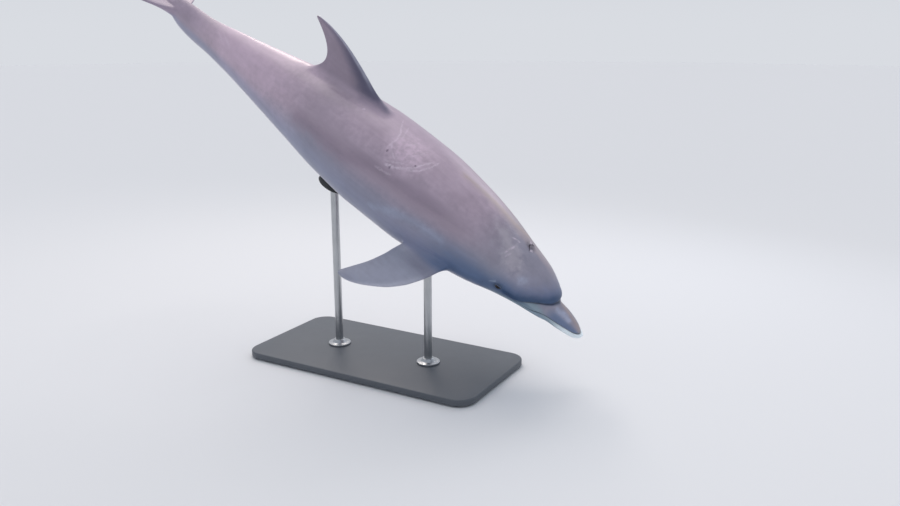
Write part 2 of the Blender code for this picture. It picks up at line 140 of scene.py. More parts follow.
NAVEL = 1.17
GENITAL_SLIT = (1.545, 1.635)
ANAL_SLIT = (1.715, 1.735)
FLANK_HEIGHTS = (-0.0030, 0.0016, 0.0006, 0.0007, 0.0080)  # hollow, ridge, armpit, neck, keel of the back

# Dorsal fin
FIN_FRONT = 1.000
FIN_BACK = 1.365
FIN_HEIGHT = 0.213
FIN_TIP = (FIN_BACK + 0.086, FIN_HEIGHT)
FIN_THICKNESS = 0.042
FIN_TAPER = 0.86           # share of its thickness that it loses on the way to the tip
FIN_LEADING = (            # handles of the leading edge, as distance s and height
    (FIN_FRONT - 0.020, -0.030),
    (FIN_FRONT + 0.120, 0.035),
    (FIN_BACK - 0.095, 0.94 * FIN_HEIGHT),
    FIN_TIP,
)
FIN_TRAILING = (
    (FIN_BACK + 0.090, -0.020),
    (FIN_BACK - 0.062, 0.26 * FIN_HEIGHT),
    (FIN_BACK + 0.010, 0.66 * FIN_HEIGHT),
    (FIN_TIP[0] + 0.004, FIN_TIP[1] - 0.006),
)

# Flippers
FLIPPER_ROOT = (0.520, -0.100)
FLIPPER_ROOT_OUT = 0.86    # how far out the root lies, as a share of the half width a little behind it
FLIPPER_ROOT_AFT = 0.07
FLIPPER_SWEEP = math.radians(33)
FLIPPER_DROOP = math.radians(43)
FLIPPER_TURN = math.radians(-7)
FLIPPER_EDGES = (          # out along the flipper, leading edge, trailing edge
    (-0.035, 0.004, 0.136),
    (0.000, 0.000, 0.146),
    (0.060, -0.008, 0.160),
    (0.130, -0.010, 0.150),
    (0.200, 0.000, 0.133),
    (0.270, 0.027, 0.126),
    (0.330, 0.061, 0.128),
    (0.365, 0.092, 0.129),
    (0.380, 0.115, 0.127),
)
FLIPPER_THICKNESS = 0.034
FLIPPER_TAPER = 0.74
FLIPPER_BOW = 0.667

# Flukes
FLUKE_EDGES = (            # out from the middle, leading edge, trailing edge, as distances s
    (0.000, 2.212, 2.450),
    (0.020, 2.224, 2.461),
    (0.045, 2.248, 2.467),
    (0.080, 2.285, 2.468),
    (0.130, 2.337, 2.466),
    (0.190, 2.398, 2.474),
    (0.240, 2.449, 2.491),
    (0.272, 2.487, 2.507),
    (0.285, 2.503, 2.513),
)
FLUKE_THICKNESS = 0.026
FLUKE_TAPER = 0.80
FLUKE_BOW = 0.74
FLUKE_LIFT = 0.045

TIP_START = 0.965          # share of a fin's length from which its tip is rounded
FIN_CROWDING = 1.6         # how much closer the rings of a fin lie towards its tip
FIN_RIM = (0.030, 0.985)   # shares of the chord at which a rim's corners lie

FLESH = ("beak_upper", "beak_lower", "head", "neck", "chest", "midriff", "loin", "tail_stock_front",
         "tail_stock_rear", "dorsal_fin", "flipper_left", "flipper_right", "fluke_left", "fluke_right")


# ---------------------------------------------------------------- curves and placing

def curve_through(pairs):
    """A smooth curve through (place, value) pairs that never overshoots between two of them."""
    knots, values = np.array(pairs, float).T
    steps = np.diff(knots)
    rates = np.diff(values) / steps
    slopes = np.zeros_like(values)
    slopes[0] = rates[0]
    slopes[-1] = rates[-1]
    for i in range(1, len(knots) - 1):
        if rates[i - 1] * rates[i] > 0:
            before = 2 * steps[i] + steps[i - 1]
            after = steps[i] + 2 * steps[i - 1]
            slopes[i] = (before + after) / (before / rates[i - 1] + after / rates[i])

    def value_at(x):
        x = np.clip(x, knots[0], knots[-1])
        i = np.clip(np.searchsorted(knots, x, side="right") - 1, 0, len(steps) - 1)
        t = (x - knots[i]) / steps[i]
        rise = t * t * (3 - 2 * t)
        lean = t * (1 - t) * (1 - t) * slopes[i] - t * t * (1 - t) * slopes[i + 1]
        return values[i] * (1 - rise) + values[i + 1] * rise + steps[i] * lean

    return value_at


def smooth_step(x, start, end):
    t = np.clip((x - start) / (end - start), 0.0, 1.0)
    return t * t * (3 - 2 * t)


def hump(x, width):
    """A soft bump, 1 where x is 0 and nearly nothing two widths away."""
    return np.exp(-(x / width) ** 2)


def window(x, start, end, soft):
    """1 between start and end, fading to nothing over soft on either side."""
    return smooth_step(x, start - soft, start) * (1 - smooth_step(x, end, end + soft))


def bezier(points, t):
    a, b, c, d = (np.array(point) for point in points)
    t = np.asarray(t)[..., None]
    u = 1 - t
    return u ** 3 * a + 3 * u * u * t * b + 3 * u * t * t * c + t ** 3 * d


def column_curve(rows, column):
    return curve_through([(row[0], row[column]) for row in rows])


back_height, belly_depth, half_width, widest_level = (column_curve(STATIONS, k) for k in (1, 2, 3, 4))
flipper_leading, flipper_trailing = (column_curve(FLIPPER_EDGES, k) for k in (1, 2))
fluke_leading, fluke_trailing = (column_curve(FLUKE_EDGES, k) for k in (1, 2))
mouth_line = curve_through(MOUTH_LINE)
melon_crease = curve_through(MELON_CREASE)
crease_depth = curve_through(CREASE_DEPTH)


def spine_angles(s):
    """Upward, leftward and twisting angle of the spine at s."""
    up = 0.0 * s
    left = 0.0 * s
    for centre, length, up_angle, left_angle in BENDS:
        share = smooth_step(s, centre - length / 2, centre + length / 2)
        up = up + share * math.radians(up_angle)
        left = left + share * math.radians(left_angle)
    centre, length, angle = TAIL_TWIST
    return np.array([up, left, angle * smooth_step(s, centre - length / 2, centre + length / 2)])


def trace_spine(reach=2.6, step=0.005, start=-0.05):
    """Points along the spine and the frame at each, as rows forward, left and up."""
    distances = np.arange(start, reach, step)
    up, left, twist = spine_angles(distances) - spine_angles(np.array(MIDDLE))[:, None]
    forward = np.stack([np.cos(up) * np.cos(left), np.cos(up) * np.sin(left), -np.sin(up)], 1)
    points = np.zeros((len(distances), 3))
    points[1:] = np.cumsum(-(forward[1:] + forward[:-1]) / 2 * step, axis=0)
    points -= np.array([np.interp(MIDDLE, distances, points[:, k]) for k in range(3)])
    side = np.cross((0.0, 0.0, 1.0), forward)
    side /= np.linalg.norm(side, axis=1)[:, None]
    top = np.cross(forward, side)
    cosine = np.cos(twist)[:, None]
    sine = np.sin(twist)[:, None]
    return distances, points, side * cosine + top * sine, top * cosine - side * sine


SPINE = trace_spine()
STANCE = np.array(Matrix.Rotation(DIVE, 3, "Y") @ Matrix.Rotation(BANK, 3, "X"))


def posed(points):
    """World places of points given on the straight body."""
    distances, *tracks = SPINE
    places, left, up = (
        np.stack([np.interp(points[:, 0], distances, track[:, k]) for k in range(3)], 1) for track in tracks)
    left /= np.linalg.norm(left, axis=1)[:, None]
    up /= np.linalg.norm(up, axis=1)[:, None]
    return (places + left * points[:, 1:2] + up * points[:, 2:3]) @ STANCE.T + (0.0, 0.0, SPINE_HEIGHT)


# ---------------------------------------------------------------- the straight body

def straight_to_tip(curve, s):
    """A curve of the body carried straight on to the tip of the beak, which is rounded on its own."""
    step = 0.01
    slope = (curve(TIP_ROUND + step) - curve(TIP_ROUND)) / step
    return curve(np.maximum(s, TIP_ROUND)) + slope * np.minimum(s - TIP_ROUND, 0)


def on_body(s, turn, radius=1.0):
    """Straight-body points at s, where turn runs from 0 at the back over the left side, in radians."""
    degrees = np.degrees(np.abs(turn))
    cheek = window(degrees, 60, 88, 28) * window(s, 0.165, 0.20, 0.10) * CHEEK_HOLLOW
    shape = s - cheek * (1 - smooth_step(s, 0.20, 0.32))
    level, widest, back, belly = (
        straight_to_tip(curve, shape) for curve in (widest_level, half_width, back_height, belly_depth))
    keel = 1 + KEEL * smooth_step(s, *KEEL_GROWS) * (1 - smooth_step(s, *KEEL_FADES))
    towards_tip = np.clip((TIP_ROUND - s) / (TIP_ROUND - NOSE), 0, 1)
    blunt = np.sqrt(1 - towards_tip ** TIP_BLUNTNESS) * np.minimum(radius, 1)
    sine = np.sin(turn)
    cosine = np.cos(turn)
    y = widest * np.sign(sine) * np.abs(sine) ** keel * blunt
    flare = JAW_FLARE * smooth_step(-cosine, 0.0, 0.3) - BEAK_NARROWING * smooth_step(cosine, -0.3, 0.2)
    y = y * (1 + flare * (1 - smooth_step(s, *FLARE_FADES)))
    reach = np.where(cosine > 0, back - level, level - belly)
    thinned = 1 - STOCK_THINNING * smooth_step(s, *STOCK_THINS)
    z = level + reach * cosine * blunt * thinned
    below = smooth_step(mouth_line(0) - z, -0.002, 0.006)
    lead = JAW_LEAD * below * (1 - smooth_step(s, 0.0, JAW_LEAD_FADES))
    return np.stack([s - lead, y, z], -1)


def level_share(s, z):
    """How high z lies at s: 0 where the body is widest, 1 at the back and -1 at the belly."""
    level = widest_level(s)
    return (z - level) / np.where(z > level, back_height(s) - level, level - belly_depth(s))


def side_width(s, z):
    """How far out the skin stands at s and height z."""
    return half_width(s) * np.sqrt(np.clip(1 - level_share(s, z) ** 2, 0, 1))


def turn_round(places):
    """How far round from the back each point of the straight body lies, in degrees."""
    s, y, z = places.T
    return np.degrees(np.arctan2(np.abs(y) / half_width(s), level_share(s, z)))


def ring_places():
    places = []
    for start, end, count in RING_COUNTS:
        places += [start + (end - start) * k / count for k in range(count)]
    return places + [RING_COUNTS[-1][1]]


def make_tube():
    """The body as a straight tube of unit radius along X, closed at its ends by two poles."""
    rings = ring_places()
    rows = len(rings) + 1
    places = [NOSE, *rings, TAIL_END]
    bm = bmesh.new()
    bmesh.ops.create_uvsphere(bm, u_segments=AROUND, v_segments=rows, radius=1.0)
    for vertex in bm.verts:
        row = round(math.acos(min(max(vertex.co.z, -1.0), 1.0)) / math.pi * rows)
        turn = math.atan2(vertex.co.y, vertex.co.x)
        vertex.co = (places[row], 0, 0) if row in (0, rows) else (places[row], math.sin(turn), math.cos(turn))
    return bm


def tube_place(point):
    """s, and the turn from the back in degrees with left positive, of a point on the tube."""
    return point.x, math.degrees(math.atan2(point.y, point.z))


def refine(bm, inside):
    """Halves the facets of the tube where inside(s, turn) says so."""
    chosen = [edge for edge in bm.edges if all(inside(*tube_place(vertex.co)) for vertex in edge.verts)]
    bmesh.ops.subdivide_edges(bm, edges=chosen, cuts=1, use_grid_fill=True)


# Patches with finer facets: from s, to s, from turn, to turn on either side
FLIPPER_SKIN = ((0.49, 0.76, 100, 144),)
DORSAL_FIN_SKIN = ((0.97, 1.45, -1, 22),)
FLUKE_SKIN = ((2.19, 2.42, 58, 122),)
SLIT_SKIN = ((1.50, 1.76, 168, 181), (1.14, 1.20, 168, 181))
MOUTH_SKIN = ((-0.01, 0.306, 84, 115), (-0.01, 0.012, -1, 181))
HEAD_END = 0.43
# Spots with finer facets: s, turn, and degrees of turn to a metre of skin there
EYE_SPOT = (EYE_PLACE[0], 96, 470)
BLOWHOLE_SPOT = (BLOWHOLE[0], 0, 530)
EAR_SPOT = (EAR[0], 108, 500)


def near(spot, s, turn, reach):
    return abs(s - spot[0]) < reach and abs(abs(turn) - spot[1]) < reach * spot[2]


def near_crease(s, turn, reach):
    return abs(turn) < 116 and -reach < s - melon_crease(abs(turn)) < reach * 0.8


def within(patches, s, turn):
    """Whether a place on either side lies in one of the patches."""
    return any(start < s < end and low < abs(turn) < high for start, end, low, high in patches)


def refine_tube(bm):
    """Small facets where the body carries folds, eyes, fins and the mouth."""
    refine(bm, lambda s, turn: s < HEAD_END)
    for patches in (FLIPPER_SKIN, DORSAL_FIN_SKIN, FLUKE_SKIN, SLIT_SKIN):
        refine(bm, lambda s, turn: within(patches, s, turn))
    refine(bm, lambda s, turn: near(EYE_SPOT, s, turn, 0.031) or near(BLOWHOLE_SPOT, s, turn, 0.031)
           or near(EAR_SPOT, s, turn, 0.008) or near_crease(s, turn, 0.017)
           or within(MOUTH_SKIN + SLIT_SKIN, s, turn))
    refine(bm, lambda s, turn: near(EYE_SPOT, s, turn, 0.026) or near(BLOWHOLE_SPOT, s, turn, 0.026)
           or near(EAR_SPOT, s, turn, 0.008) or near_crease(s, turn, 0.006))
    refine(bm, lambda s, turn: near(EYE_SPOT, s, turn, 0.017))


# ---------------------------------------------------------------- folds and lids

def each_once(items):
    """The items without repeats, in the order in which they first come."""
    return list(dict.fromkeys(items))


def read_places(bm):
    return np.array([vertex.co[:] for vertex in bm.verts])


def write_places(bm, places):
    for vertex, place in zip(bm.verts, places):
        vertex.co = place


def cut_mouth(bm):
    """Edges that run exactly along the mouth line and both its lips, so that the slit is crisp."""
    places = read_places(bm)
    places[:, 2] -= mouth_line(places[:, 0])
    write_places(bm, places)
    for offset in LIP_EDGES:
        faces = [face for face in bm.faces if face.calc_center_median().x < MOUTH_CORNER + 0.004]
        faces = [face for face in faces if abs(face.calc_center_median().z) < 0.012]
        edges = each_once(edge for face in faces for edge in face.edges)
        verts = each_once(vertex for face in faces for vertex in face.verts)
        bmesh.ops.bisect_plane(bm, geom=[*verts, *edges, *faces], dist=2e-5,
                               plane_co=(0, 0, offset), plane_no=(0, 0, 1))
    places = read_places(bm)
    places[:, 2] += mouth_line(places[:, 0])
    write_places(bm, places)


def mouth_relief(s, z):
    """Height that the mouth adds to the skin, and how deep in the slit each point is, from 0 to 1."""
    d = z - mouth_line(s)
    here = 1 - smooth_step(s, MOUTH_CORNER - 0.012, MOUTH_CORNER)
    slit = hump(d, 0.0011) * here
    lips = hump(np.abs(d) - 0.0036, 0.0022) * here * (0.4 + 0.6 * (1 - smooth_step(s, 0.05, 0.2)))
    dimple = hump(s - MOUTH_CORNER - 0.002, 0.005) * hump(z - mouth_line(MOUTH_CORNER), 0.004)
    return LIP_HEIGHT * lips - MOUTH_DEPTH * slit - DIMPLE_DEPTH * dimple, slit + 0.5 * dimple


def crease_relief(s, turn):
    """The notch between the beak and the melon, which runs down and back towards the gape."""
    d = (s - melon_crease(turn)) * 0.85
    depth = crease_depth(turn)
    notch = np.where(d < 0, hump(d, 0.020) * 0.55 + hump(d, 0.004) * 0.45, hump(d, 0.0035))
    brow = hump(d - 0.011, 0.010) * 0.45
    return depth * (brow - notch), hump(d, 0.0040) * depth / 0.006


def blowhole_relief(s, y, above):
    """A crescent slit with its horns forward, a soft plug in front of it and raised lips."""
    a = s - BLOWHOLE[0]
    b = y - BLOWHOLE[1]
    bow = 0.005 - 0.011 * (np.minimum(np.abs(b), BLOWHOLE_HALF) / BLOWHOLE_HALF) ** 2
    past = np.maximum(np.abs(b) - BLOWHOLE_HALF, 0)
    d = np.hypot((a - bow) * 0.9, past * 1.6)
    here = above * hump(np.maximum(np.hypot(a, b) - 0.02, 0), 0.008)
    slit = hump(d, 0.0015) * here
    lips = hump(d - 0.0042, 0.0022) * here
    plug = hump(np.hypot(a + 0.006, b * 0.8), 0.0085) * here
    dish = hump(np.hypot(a, b), 0.030) * above
    heights = zip(BLOWHOLE_HEIGHTS, (slit, lips, plug, dish))
    return sum(height * part for height, part in heights), slit


def eye_axes(side):
    """Centre of the eyeball and its axes aft, up and outward, on the straight body."""
    s, z = EYE_PLACE
    steps = ((-0.01, 0), (0.01, 0), (0, -0.01), (0, 0.01))
    around = [np.array([s + a, side_width(s + a, z + b), z + b]) for a, b in steps]
    aft = around[1] - around[0]
    up = around[3] - around[2]
    out = np.cross(up, aft)
    out /= np.linalg.norm(out) * math.copysign(1, out[1])
    aft /= np.linalg.norm(aft)
    up = np.cross(aft, out) * math.copysign(1, np.cross(aft, out)[2])
    mirror = np.array([1, side, 1])
    centre = np.array([s, side_width(s, z) - EYE_RADIUS + EYE_PROUD, z])
    return centre * mirror, aft * mirror, up * mirror, out * mirror


def almond_gap(a, b):
    """How far a point is outside the opening between the lids; negative inside it."""
    long_half, high_half = EYE_OPENING
    along = np.clip(a / long_half, -1, 1)
    middle = EYE_OPENING_LEAN * along
    half = high_half * (1 - along ** 2) ** 0.75
    inside = np.abs(b - middle) - half
    beyond = np.hypot(np.maximum(np.abs(a) - long_half, 0), b - middle)
    return np.where(np.abs(a) < long_half, inside, beyond)


def shape_lids(places, side):
    """Lays the lids over the eyeball and sinks the skin behind it; returns the moved places and the shade."""
    centre, aft, up, out = eye_axes(side)
    offset = places - centre
    a = offset @ aft
    b = offset @ up
    h = offset @ out
    spread = np.hypot(a, b)
    near = (spread < 0.034) & (places[:, 1] * side > 0) & (h > -0.01)
    gap = almond_gap(a, b)
    ball = np.sqrt(np.clip(EYE_RADIUS ** 2 - spread ** 2, 0, None)) - 0.04 * (spread > EYE_RADIUS)
    rolled = smooth_step(gap, 0.0, 0.0016) * (1 - 0.5 * smooth_step(gap, 0.004, 0.010))
    lid = ball + (0.0003 + LID_THICKNESS * rolled)
    draped = LID_BLEND * np.logaddexp(h / LID_BLEND, lid / LID_BLEND)
    draped = draped - LID_BLEND * math.log(2) * hump(h - lid, 0.002)
    wander = gap + 0.0007 * np.sin(a * 260 + 1.0) * np.sin(b * 190)
    lids = {"upper": smooth_step(b, -0.002, 0.006), "lower": smooth_step(-b, -0.001, 0.006), "both": 1.0}
    folds = sum(height * lids[lid_name] * hump(wander - distance, half)
                for lid_name, distance, half, height in LID_FOLDS)
    past = np.abs(a) - EYE_OPENING[0]
    corner = np.abs(b - 0.25 * past) + np.abs(b + 0.30 * past)
    crows = hump(corner - 0.0022, 0.0012) * window(np.abs(a), 0.0145, 0.019, 0.0025)
    outside = draped + folds - 0.00035 * crows
    pocket = ball - 0.0028
    inward = smooth_step(gap, -0.0009, 0.0)
    target = outside * inward + pocket * (1 - inward)
    fade = 1 - smooth_step(spread, *LID_REACH)
    lift = np.where(near, (target - h) * fade, 0.0)
    shade = hump(gap, 0.0010)
    for (lid_name, distance, _, _), strength in zip(LID_FOLDS[:2], (0.6, 0.3)):
        shade = shade + strength * lids[lid_name] * hump(wander - distance, 0.0013)
    shade = np.maximum(shade, 1 - smooth_step(gap, -0.0008, 0.0004))
    return places + lift[:, None] * out, np.where(near, shade * fade, 0.0)


def belly_relief(s, y, below):
    """Navel, genital slit and anal slit along the middle of the belly."""
    navel = hump(s - NAVEL, 0.010) * hump(y, 0.0030)
    genital = window(s, *GENITAL_SLIT, 0.012) * hump(y, 0.0022)
    anal = window(s, *ANAL_SLIT, 0.008) * hump(y, 0.0022)
    beside = hump(np.abs(y) - 0.0065, 0.004)
    beside = beside * window(s, GENITAL_SLIT[0] - 0.005, GENITAL_SLIT[1] + 0.005, 0.012)
    lift = -0.0022 * navel - 0.0030 * (genital + anal) + 0.0012 * beside
    return lift * below, (genital + anal + 0.6 * navel) * below


def flank_relief(s, turn):
    """The hollow under the back muscle, folds over the flipper and at the neck, and the keel of the back."""
    hollow = window(s, 0.62, 1.55, 0.25) * hump(turn - 66, 13)
    ridge = window(s, 0.60, 1.30, 0.2) * hump(turn - 88, 12)
    armpit = window(s, 0.575, 0.70, 0.05) * window(turn, 100, 112, 6) * np.sin((s - 0.5) * 420 + turn * 0.25)
    neck = window(s, 0.43, 0.50, 0.05) * window(turn, 70, 125, 20) * np.sin((s - 0.4) * 190)
    keel = hump(turn, 13) * window(s, 1.39, 1.43, 0.10)
    heights = zip(FLANK_HEIGHTS, (hollow, ridge, armpit, neck, keel))
    return sum(height * part for height, part in heights)


def sculpt(bm):
    """Moves the straight skin along its normals by its folds; returns how deep in a fold each point is."""
    bm.normal_update()
    places = read_places(bm)
    normals = np.array([vertex.normal[:] for vertex in bm.verts])
    s, y, z = places.T
    level = widest_level(s)
    turn = turn_round(places)
    above = smooth_step(z - level, 0.0, 0.02)
    below = smooth_step(level - z, 0.0, 0.02)
    mouth, slit = mouth_relief(s, z)
    mouth_here = s < 0.32
    crease, notch = crease_relief(s, turn)
    crease_here = (s > 0.06) & (s < 0.34)
    crescent, hole = blowhole_relief(s, y, above)
    belly, belly_slits = belly_relief(s, y, below)
    ear = hump(np.hypot(s - EAR[0], z - EAR[1]), 0.0016)
    lift = np.where(mouth_here, mouth, 0) + np.where(crease_here, crease, 0) + crescent + belly
    lift = lift + flank_relief(s, turn) - 0.0022 * ear
    depth = np.where(mouth_here, slit, 0) + np.where(crease_here, notch, 0) + hole + belly_slits + ear
    places = places + normals * lift[:, None]
    for side in (1, -1):
        places, lid_shade = shape_lids(places, side)
        depth = depth + lid_shade
    write_places(bm, places)
    return np.clip(depth, 0, 1)


# ---------------------------------------------------------------- fins

def wing_profile(c):
    """Half thickness of a fin's section at a chord fraction c, for a full thickness of 1."""
    return 5 * (0.2969 * np.sqrt(c) - 0.126 * c - 0.3516 * c ** 2 + 0.2843 * c ** 3 - 0.1036 * c ** 4)


def dorsal_fin_place(t, c, half):
    """A point of the dorsal fin: t up from its base to its tip, c along its chord, half to its left."""
    base_front = back_height(FIN_FRONT)
    base_back = back_height(FIN_BACK)
    leading = bezier(FIN_LEADING, t)
    s, height = leading + (bezier(FIN_TRAILING, t) - leading) * c
    share = (s - FIN_FRONT) / (FIN_BACK - FIN_FRONT)
    rise = base_front + (base_back - base_front) * share
    return Vector((s, half * FIN_THICKNESS * (1 - FIN_TAPER * t), rise + height))


def tapered(thickness, taper, bow, share):
    """How thick a fin is at a share of its length; the lower the bow, the longer it stays thick."""
    return thickness * (1 - taper * (1 - max(1 - share, 0) ** bow))


def flipper_place(side, reach, c, half):
    """A point of a flipper: reach out from its root, c along its chord, half above its middle."""
    out = Vector((math.sin(FLIPPER_SWEEP), -math.cos(FLIPPER_SWEEP) * math.cos(FLIPPER_DROOP),
                  -math.cos(FLIPPER_SWEEP) * math.sin(FLIPPER_DROOP)))
    aft = (Vector((1, 0, 0)) - out * out.x).normalized()
    aft = Matrix.Rotation(FLIPPER_TURN, 3, out) @ aft
    s_root, z_root = FLIPPER_ROOT
    root = Vector((s_root, -FLIPPER_ROOT_OUT * half_width(s_root + FLIPPER_ROOT_AFT), z_root))
    length = FLIPPER_EDGES[-1][0]
    share = (reach - FLIPPER_EDGES[0][0]) / (length - FLIPPER_EDGES[0][0])
    thickness = tapered(FLIPPER_THICKNESS, FLIPPER_TAPER, FLIPPER_BOW, share)
    lead = flipper_leading(reach)
    chord = lead + (flipper_trailing(reach) - lead) * c
    flat = root + out * reach + aft * chord + out.cross(aft) * (half * thickness)
    return Vector((flat.x, -side * flat.y, flat.z))


def fluke_place(side, reach, c, half):
    """A point of a fluke: reach out from the middle, c along its chord, half above its middle."""
    span = FLUKE_EDGES[-1][0]
    thickness = tapered(FLUKE_THICKNESS, FLUKE_TAPER, FLUKE_BOW, reach / span)
    lead = fluke_leading(reach)
    chord = lead + (fluke_trailing(reach) - lead) * c
    return Vector((chord, side * reach, FLUKE_LIFT * (reach / span) ** 2 + half * thickness))


def patch_of(bm, start, end, low, high):
    """The faces of the tube from start to end and between two turns, in degrees."""
    found = []
    for face in bm.faces:
        s, turn = tube_place(face.calc_center_median())
        if start < s < end and low < turn < high:
            found.append(face)
    return found


def open_patch(bm, start, end, low, high):
    """Removes a patch of the tube, and notes on its rim how far along and across it each point lies."""
    faces = patch_of(bm, start, end, low, high)
    inner = set(faces)
    rim = each_once(edge for face in faces for edge in face.edges
                    if any(other not in inner for other in edge.link_faces))
    verts = each_once(vertex for edge in rim for vertex in edge.verts)
    along, across = zip(*(tube_place(vertex.co) for vertex in verts))
    place_layer = bm.verts.layers.float_vector["patch"]
    for vertex in verts:
        s, turn = tube_place(vertex.co)
        p = 2 * (s - min(along)) / (max(along) - min(along)) - 1
        q = 2 * (turn - min(across)) / (max(across) - min(across)) - 1
        vertex[place_layer] = (p, q, 0)
    bmesh.ops.delete(bm, geom=faces, context="FACES")
    return [edge for edge in rim if edge.is_valid]


def section_share(p, q):
    """Chord fraction and signed half thickness of a wing section at a rim place."""
    front, back = FIN_RIM
    if abs(q) > 0.999:
        c = front + (back - front) * (p + 1) / 2
    elif p < 0:
        c = front * q * q
    else:
        c = 1 - (1 - back) * q * q
    return c, math.copysign(float(wing_profile(c)), q) if abs(q) > 1e-3 else 0.0


def grow_fin(bm, rim, kind, place_at, root_reach, tip_reach, rings, flip=1):
    """Draws a fin out of the rim, ring by ring, and rounds it off to one point at its tip."""
    place_layer = bm.verts.layers.float_vector["patch"]
    kind_layer = bm.verts.layers.float["fin"]
    loop = rim
    for ring in range(1, rings + 1):
        made = bmesh.ops.extrude_edge_only(bm, edges=loop)["geom"]
        loop = [item for item in made if isinstance(item, bmesh.types.BMEdge) and len(item.link_faces) == 1]
        share = 1 - (1 - ring / rings) ** FIN_CROWDING
        narrow = math.sqrt(1 - max((share - TIP_START) / (1 - TIP_START), 0) ** 2)
        for vertex in each_once(vertex for edge in loop for vertex in edge.verts):
            p, q, _ = vertex[place_layer]
            c, half = section_share(p, q)
            start = root_reach[0] + (root_reach[1] - root_reach[0]) * c
            reach = start + (tip_reach - start) * share
            vertex.co = place_at(reach, 0.5 + (c - 0.5) * narrow, half * narrow * flip)
            vertex[place_layer] = (p, q, share)
            vertex[kind_layer] = kind
    tip = each_once(vertex for edge in loop for vertex in edge.verts)
    bmesh.ops.remove_doubles(bm, verts=tip, dist=1e-4)


def soften(bm, rim_verts, reach, rounds):
    """Rounds the skin round a fin's root, most at the root itself."""
    rings = [rim_verts]
    for _ in range(reach):
        grown = (other for vertex in rings[-1] for edge in vertex.link_edges for other in edge.verts)
        rings.append(each_once([*rings[-1], *grown]))
    for k in range(rounds):
        chosen = rings[max(1, round(reach * (1 - k / rounds)))]
        bmesh.ops.smooth_vert(bm, verts=chosen, factor=0.5, use_axis_x=True, use_axis_y=True, use_axis_z=True)


# ---------------------------------------------------------------- making objects

def face_outwards(bm):
    """Turns every face of a closed mesh to point away from its inside."""
    bmesh.ops.recalc_face_normals(bm, faces=bm.faces)
    if bm.calc_volume(signed=True) < 0:
        bmesh.ops.reverse_faces(bm, faces=bm.faces)


def add_object(name, data):
    made = bpy.data.objects.new(name, data)
    bpy.context.scene.collection.objects.link(made)
    return made


def new_piece(bm, name, material, replaced=()):
    """Turns a bmesh into a smooth piece of the model that rides on the one body."""
    mesh = bpy.data.meshes.new(name)
    bm.to_mesh(mesh)
    bm.free()
    mesh.shade_smooth()
    piece = add_object(name, mesh)
    mesh.materials.append(material)
    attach(piece, "root")
    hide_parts(*replaced)
    return piece


def store(mesh, name, values):
    """Keeps a number or a place for each point of a mesh, for its material to read."""
    values = np.asarray(values, np.float32)
    kind, key = ("FLOAT", "value") if values.ndim == 1 else ("FLOAT_VECTOR", "vector")
    mesh.attributes.new(name, kind, "POINT").data.foreach_set(key, values.ravel())


# ---------------------------------------------------------------- material tools

def linear(hexed):
    """An sRGB hex colour as linear RGBA."""
    parts = [int(hexed[k:k + 2], 16) / 255 for k in (1, 3, 5)]
    return (*(v / 12.92 if v <= 0.04045 else ((v + 0.055) / 1.055) ** 2.4 for v in parts), 1.0)


def node(tree, kind, feeds=None, **settings):
    """Adds a node. Settings are its properties; feeds are its sockets' values, with colours as sRGB hex, or
    links to another socket or to the first output that another node has in use."""
    made = tree.nodes.new("ShaderNode" + kind)
    for key, value in settings.items():
        setattr(made, key, value)
    for key, value in (feeds or {}).items():
        if isinstance(value, str):
            value = linear(value)
        if isinstance(value, bpy.types.Node):
            value = next(output for output in value.outputs if output.enabled)
        if isinstance(value, bpy.types.NodeSocket):
            tree.links.new(value, made.inputs[key])
        else:
            made.inputs[key].default_value = value
    return made


def new_material(name):
    material = bpy.data.materials.new(name)
    material.use_nodes = True
    material.node_tree.nodes.clear()
    return material, material.node_tree


# ---------------------------------------------------------------- markings of the skin

CAPE_EDGE = ((0.0, 50), (0.12, 62), (0.30, 74), (0.45, 66), (0.60, 74), (1.00, 79), (1.30, 80), (1.60, 86),
             (2.0, 100), (2.4, 105))
# Line of painted shade along the shallow hollow below the back muscle
FLANK_HOLLOW_SHADE_LINE = ((0.50, 50), (0.73, 56), (0.94, 61), (1.06, 72), (1.32, 75))
# Line of the dark band at the crease and gape: a real dark stripe, deepened by painted shade under the
# overhanging melon
GAPE_STRIPE_AND_SHADE_LINE = ((0.126, 0), (0.137, 30), (0.160, 57), (0.194, 75), (0.220, 85), (0.262, 97), (0.306, 100))
TAN_RIDGE = ((0.010, -4), (0.051, -6), (0.115, 14))
CROWN_STREAK = ((0.366, 20), (0.419, 9), (0.52, 8), (0.66, 4))
PALE_CHEEK = ((0.264, -55), (0.286, -63))
PALE_BROW = ((0.352, 88), (0.372, 95))
# Line of a painted highlight along the upper side of the beak
BEAK_HIGHLIGHT_LINE = ((0.060, -30), (0.112, -32))
PALE_NECK = ((0.350, -42), (0.400, -28), (0.430, -20))
# Line of a painted shadow on the back, in front of the dorsal fin's root
FIN_ROOT_SHADOW_LINE = ((1.050, 0), (1.150, 2))
JAW_EDGE = ((0.06, 92), (0.10, 90), (0.131, 88), (0.162, 79), (0.190, 76), (0.215, 85), (0.240, 97),
            (0.274, 112))
# Line of painted shade under the front of the flipper's root
ARMPIT_SHADE_LINE = ((0.500, 112), (0.560, 124), (0.600, 128))
FLANK_SHEEN = ((0.576, 82), (0.661, 81), (0.740, 85), (0.869, 100))

cape_edge = curve_through(CAPE_EDGE)
jaw_edge = curve_through(JAW_EDGE)


def line_distance(s, turn, line):
    """Distance over the skin from a line through places given as s and turn in degrees."""
    reach = np.stack([s, np.radians(turn) * half_width(s)], 1)
    corners = np.array([(p, math.radians(q) * half_width(p)) for p, q in line])
    nearest = np.full(len(s), 9.0)
    for start, end in zip(corners[:-1], corners[1:]):
        step = end - start
        share = np.clip((reach - start) @ step / (step @ step), 0, 1)
        nearest = np.minimum(nearest, np.linalg.norm(reach - start - share[:, None] * step, axis=1))
    return nearest


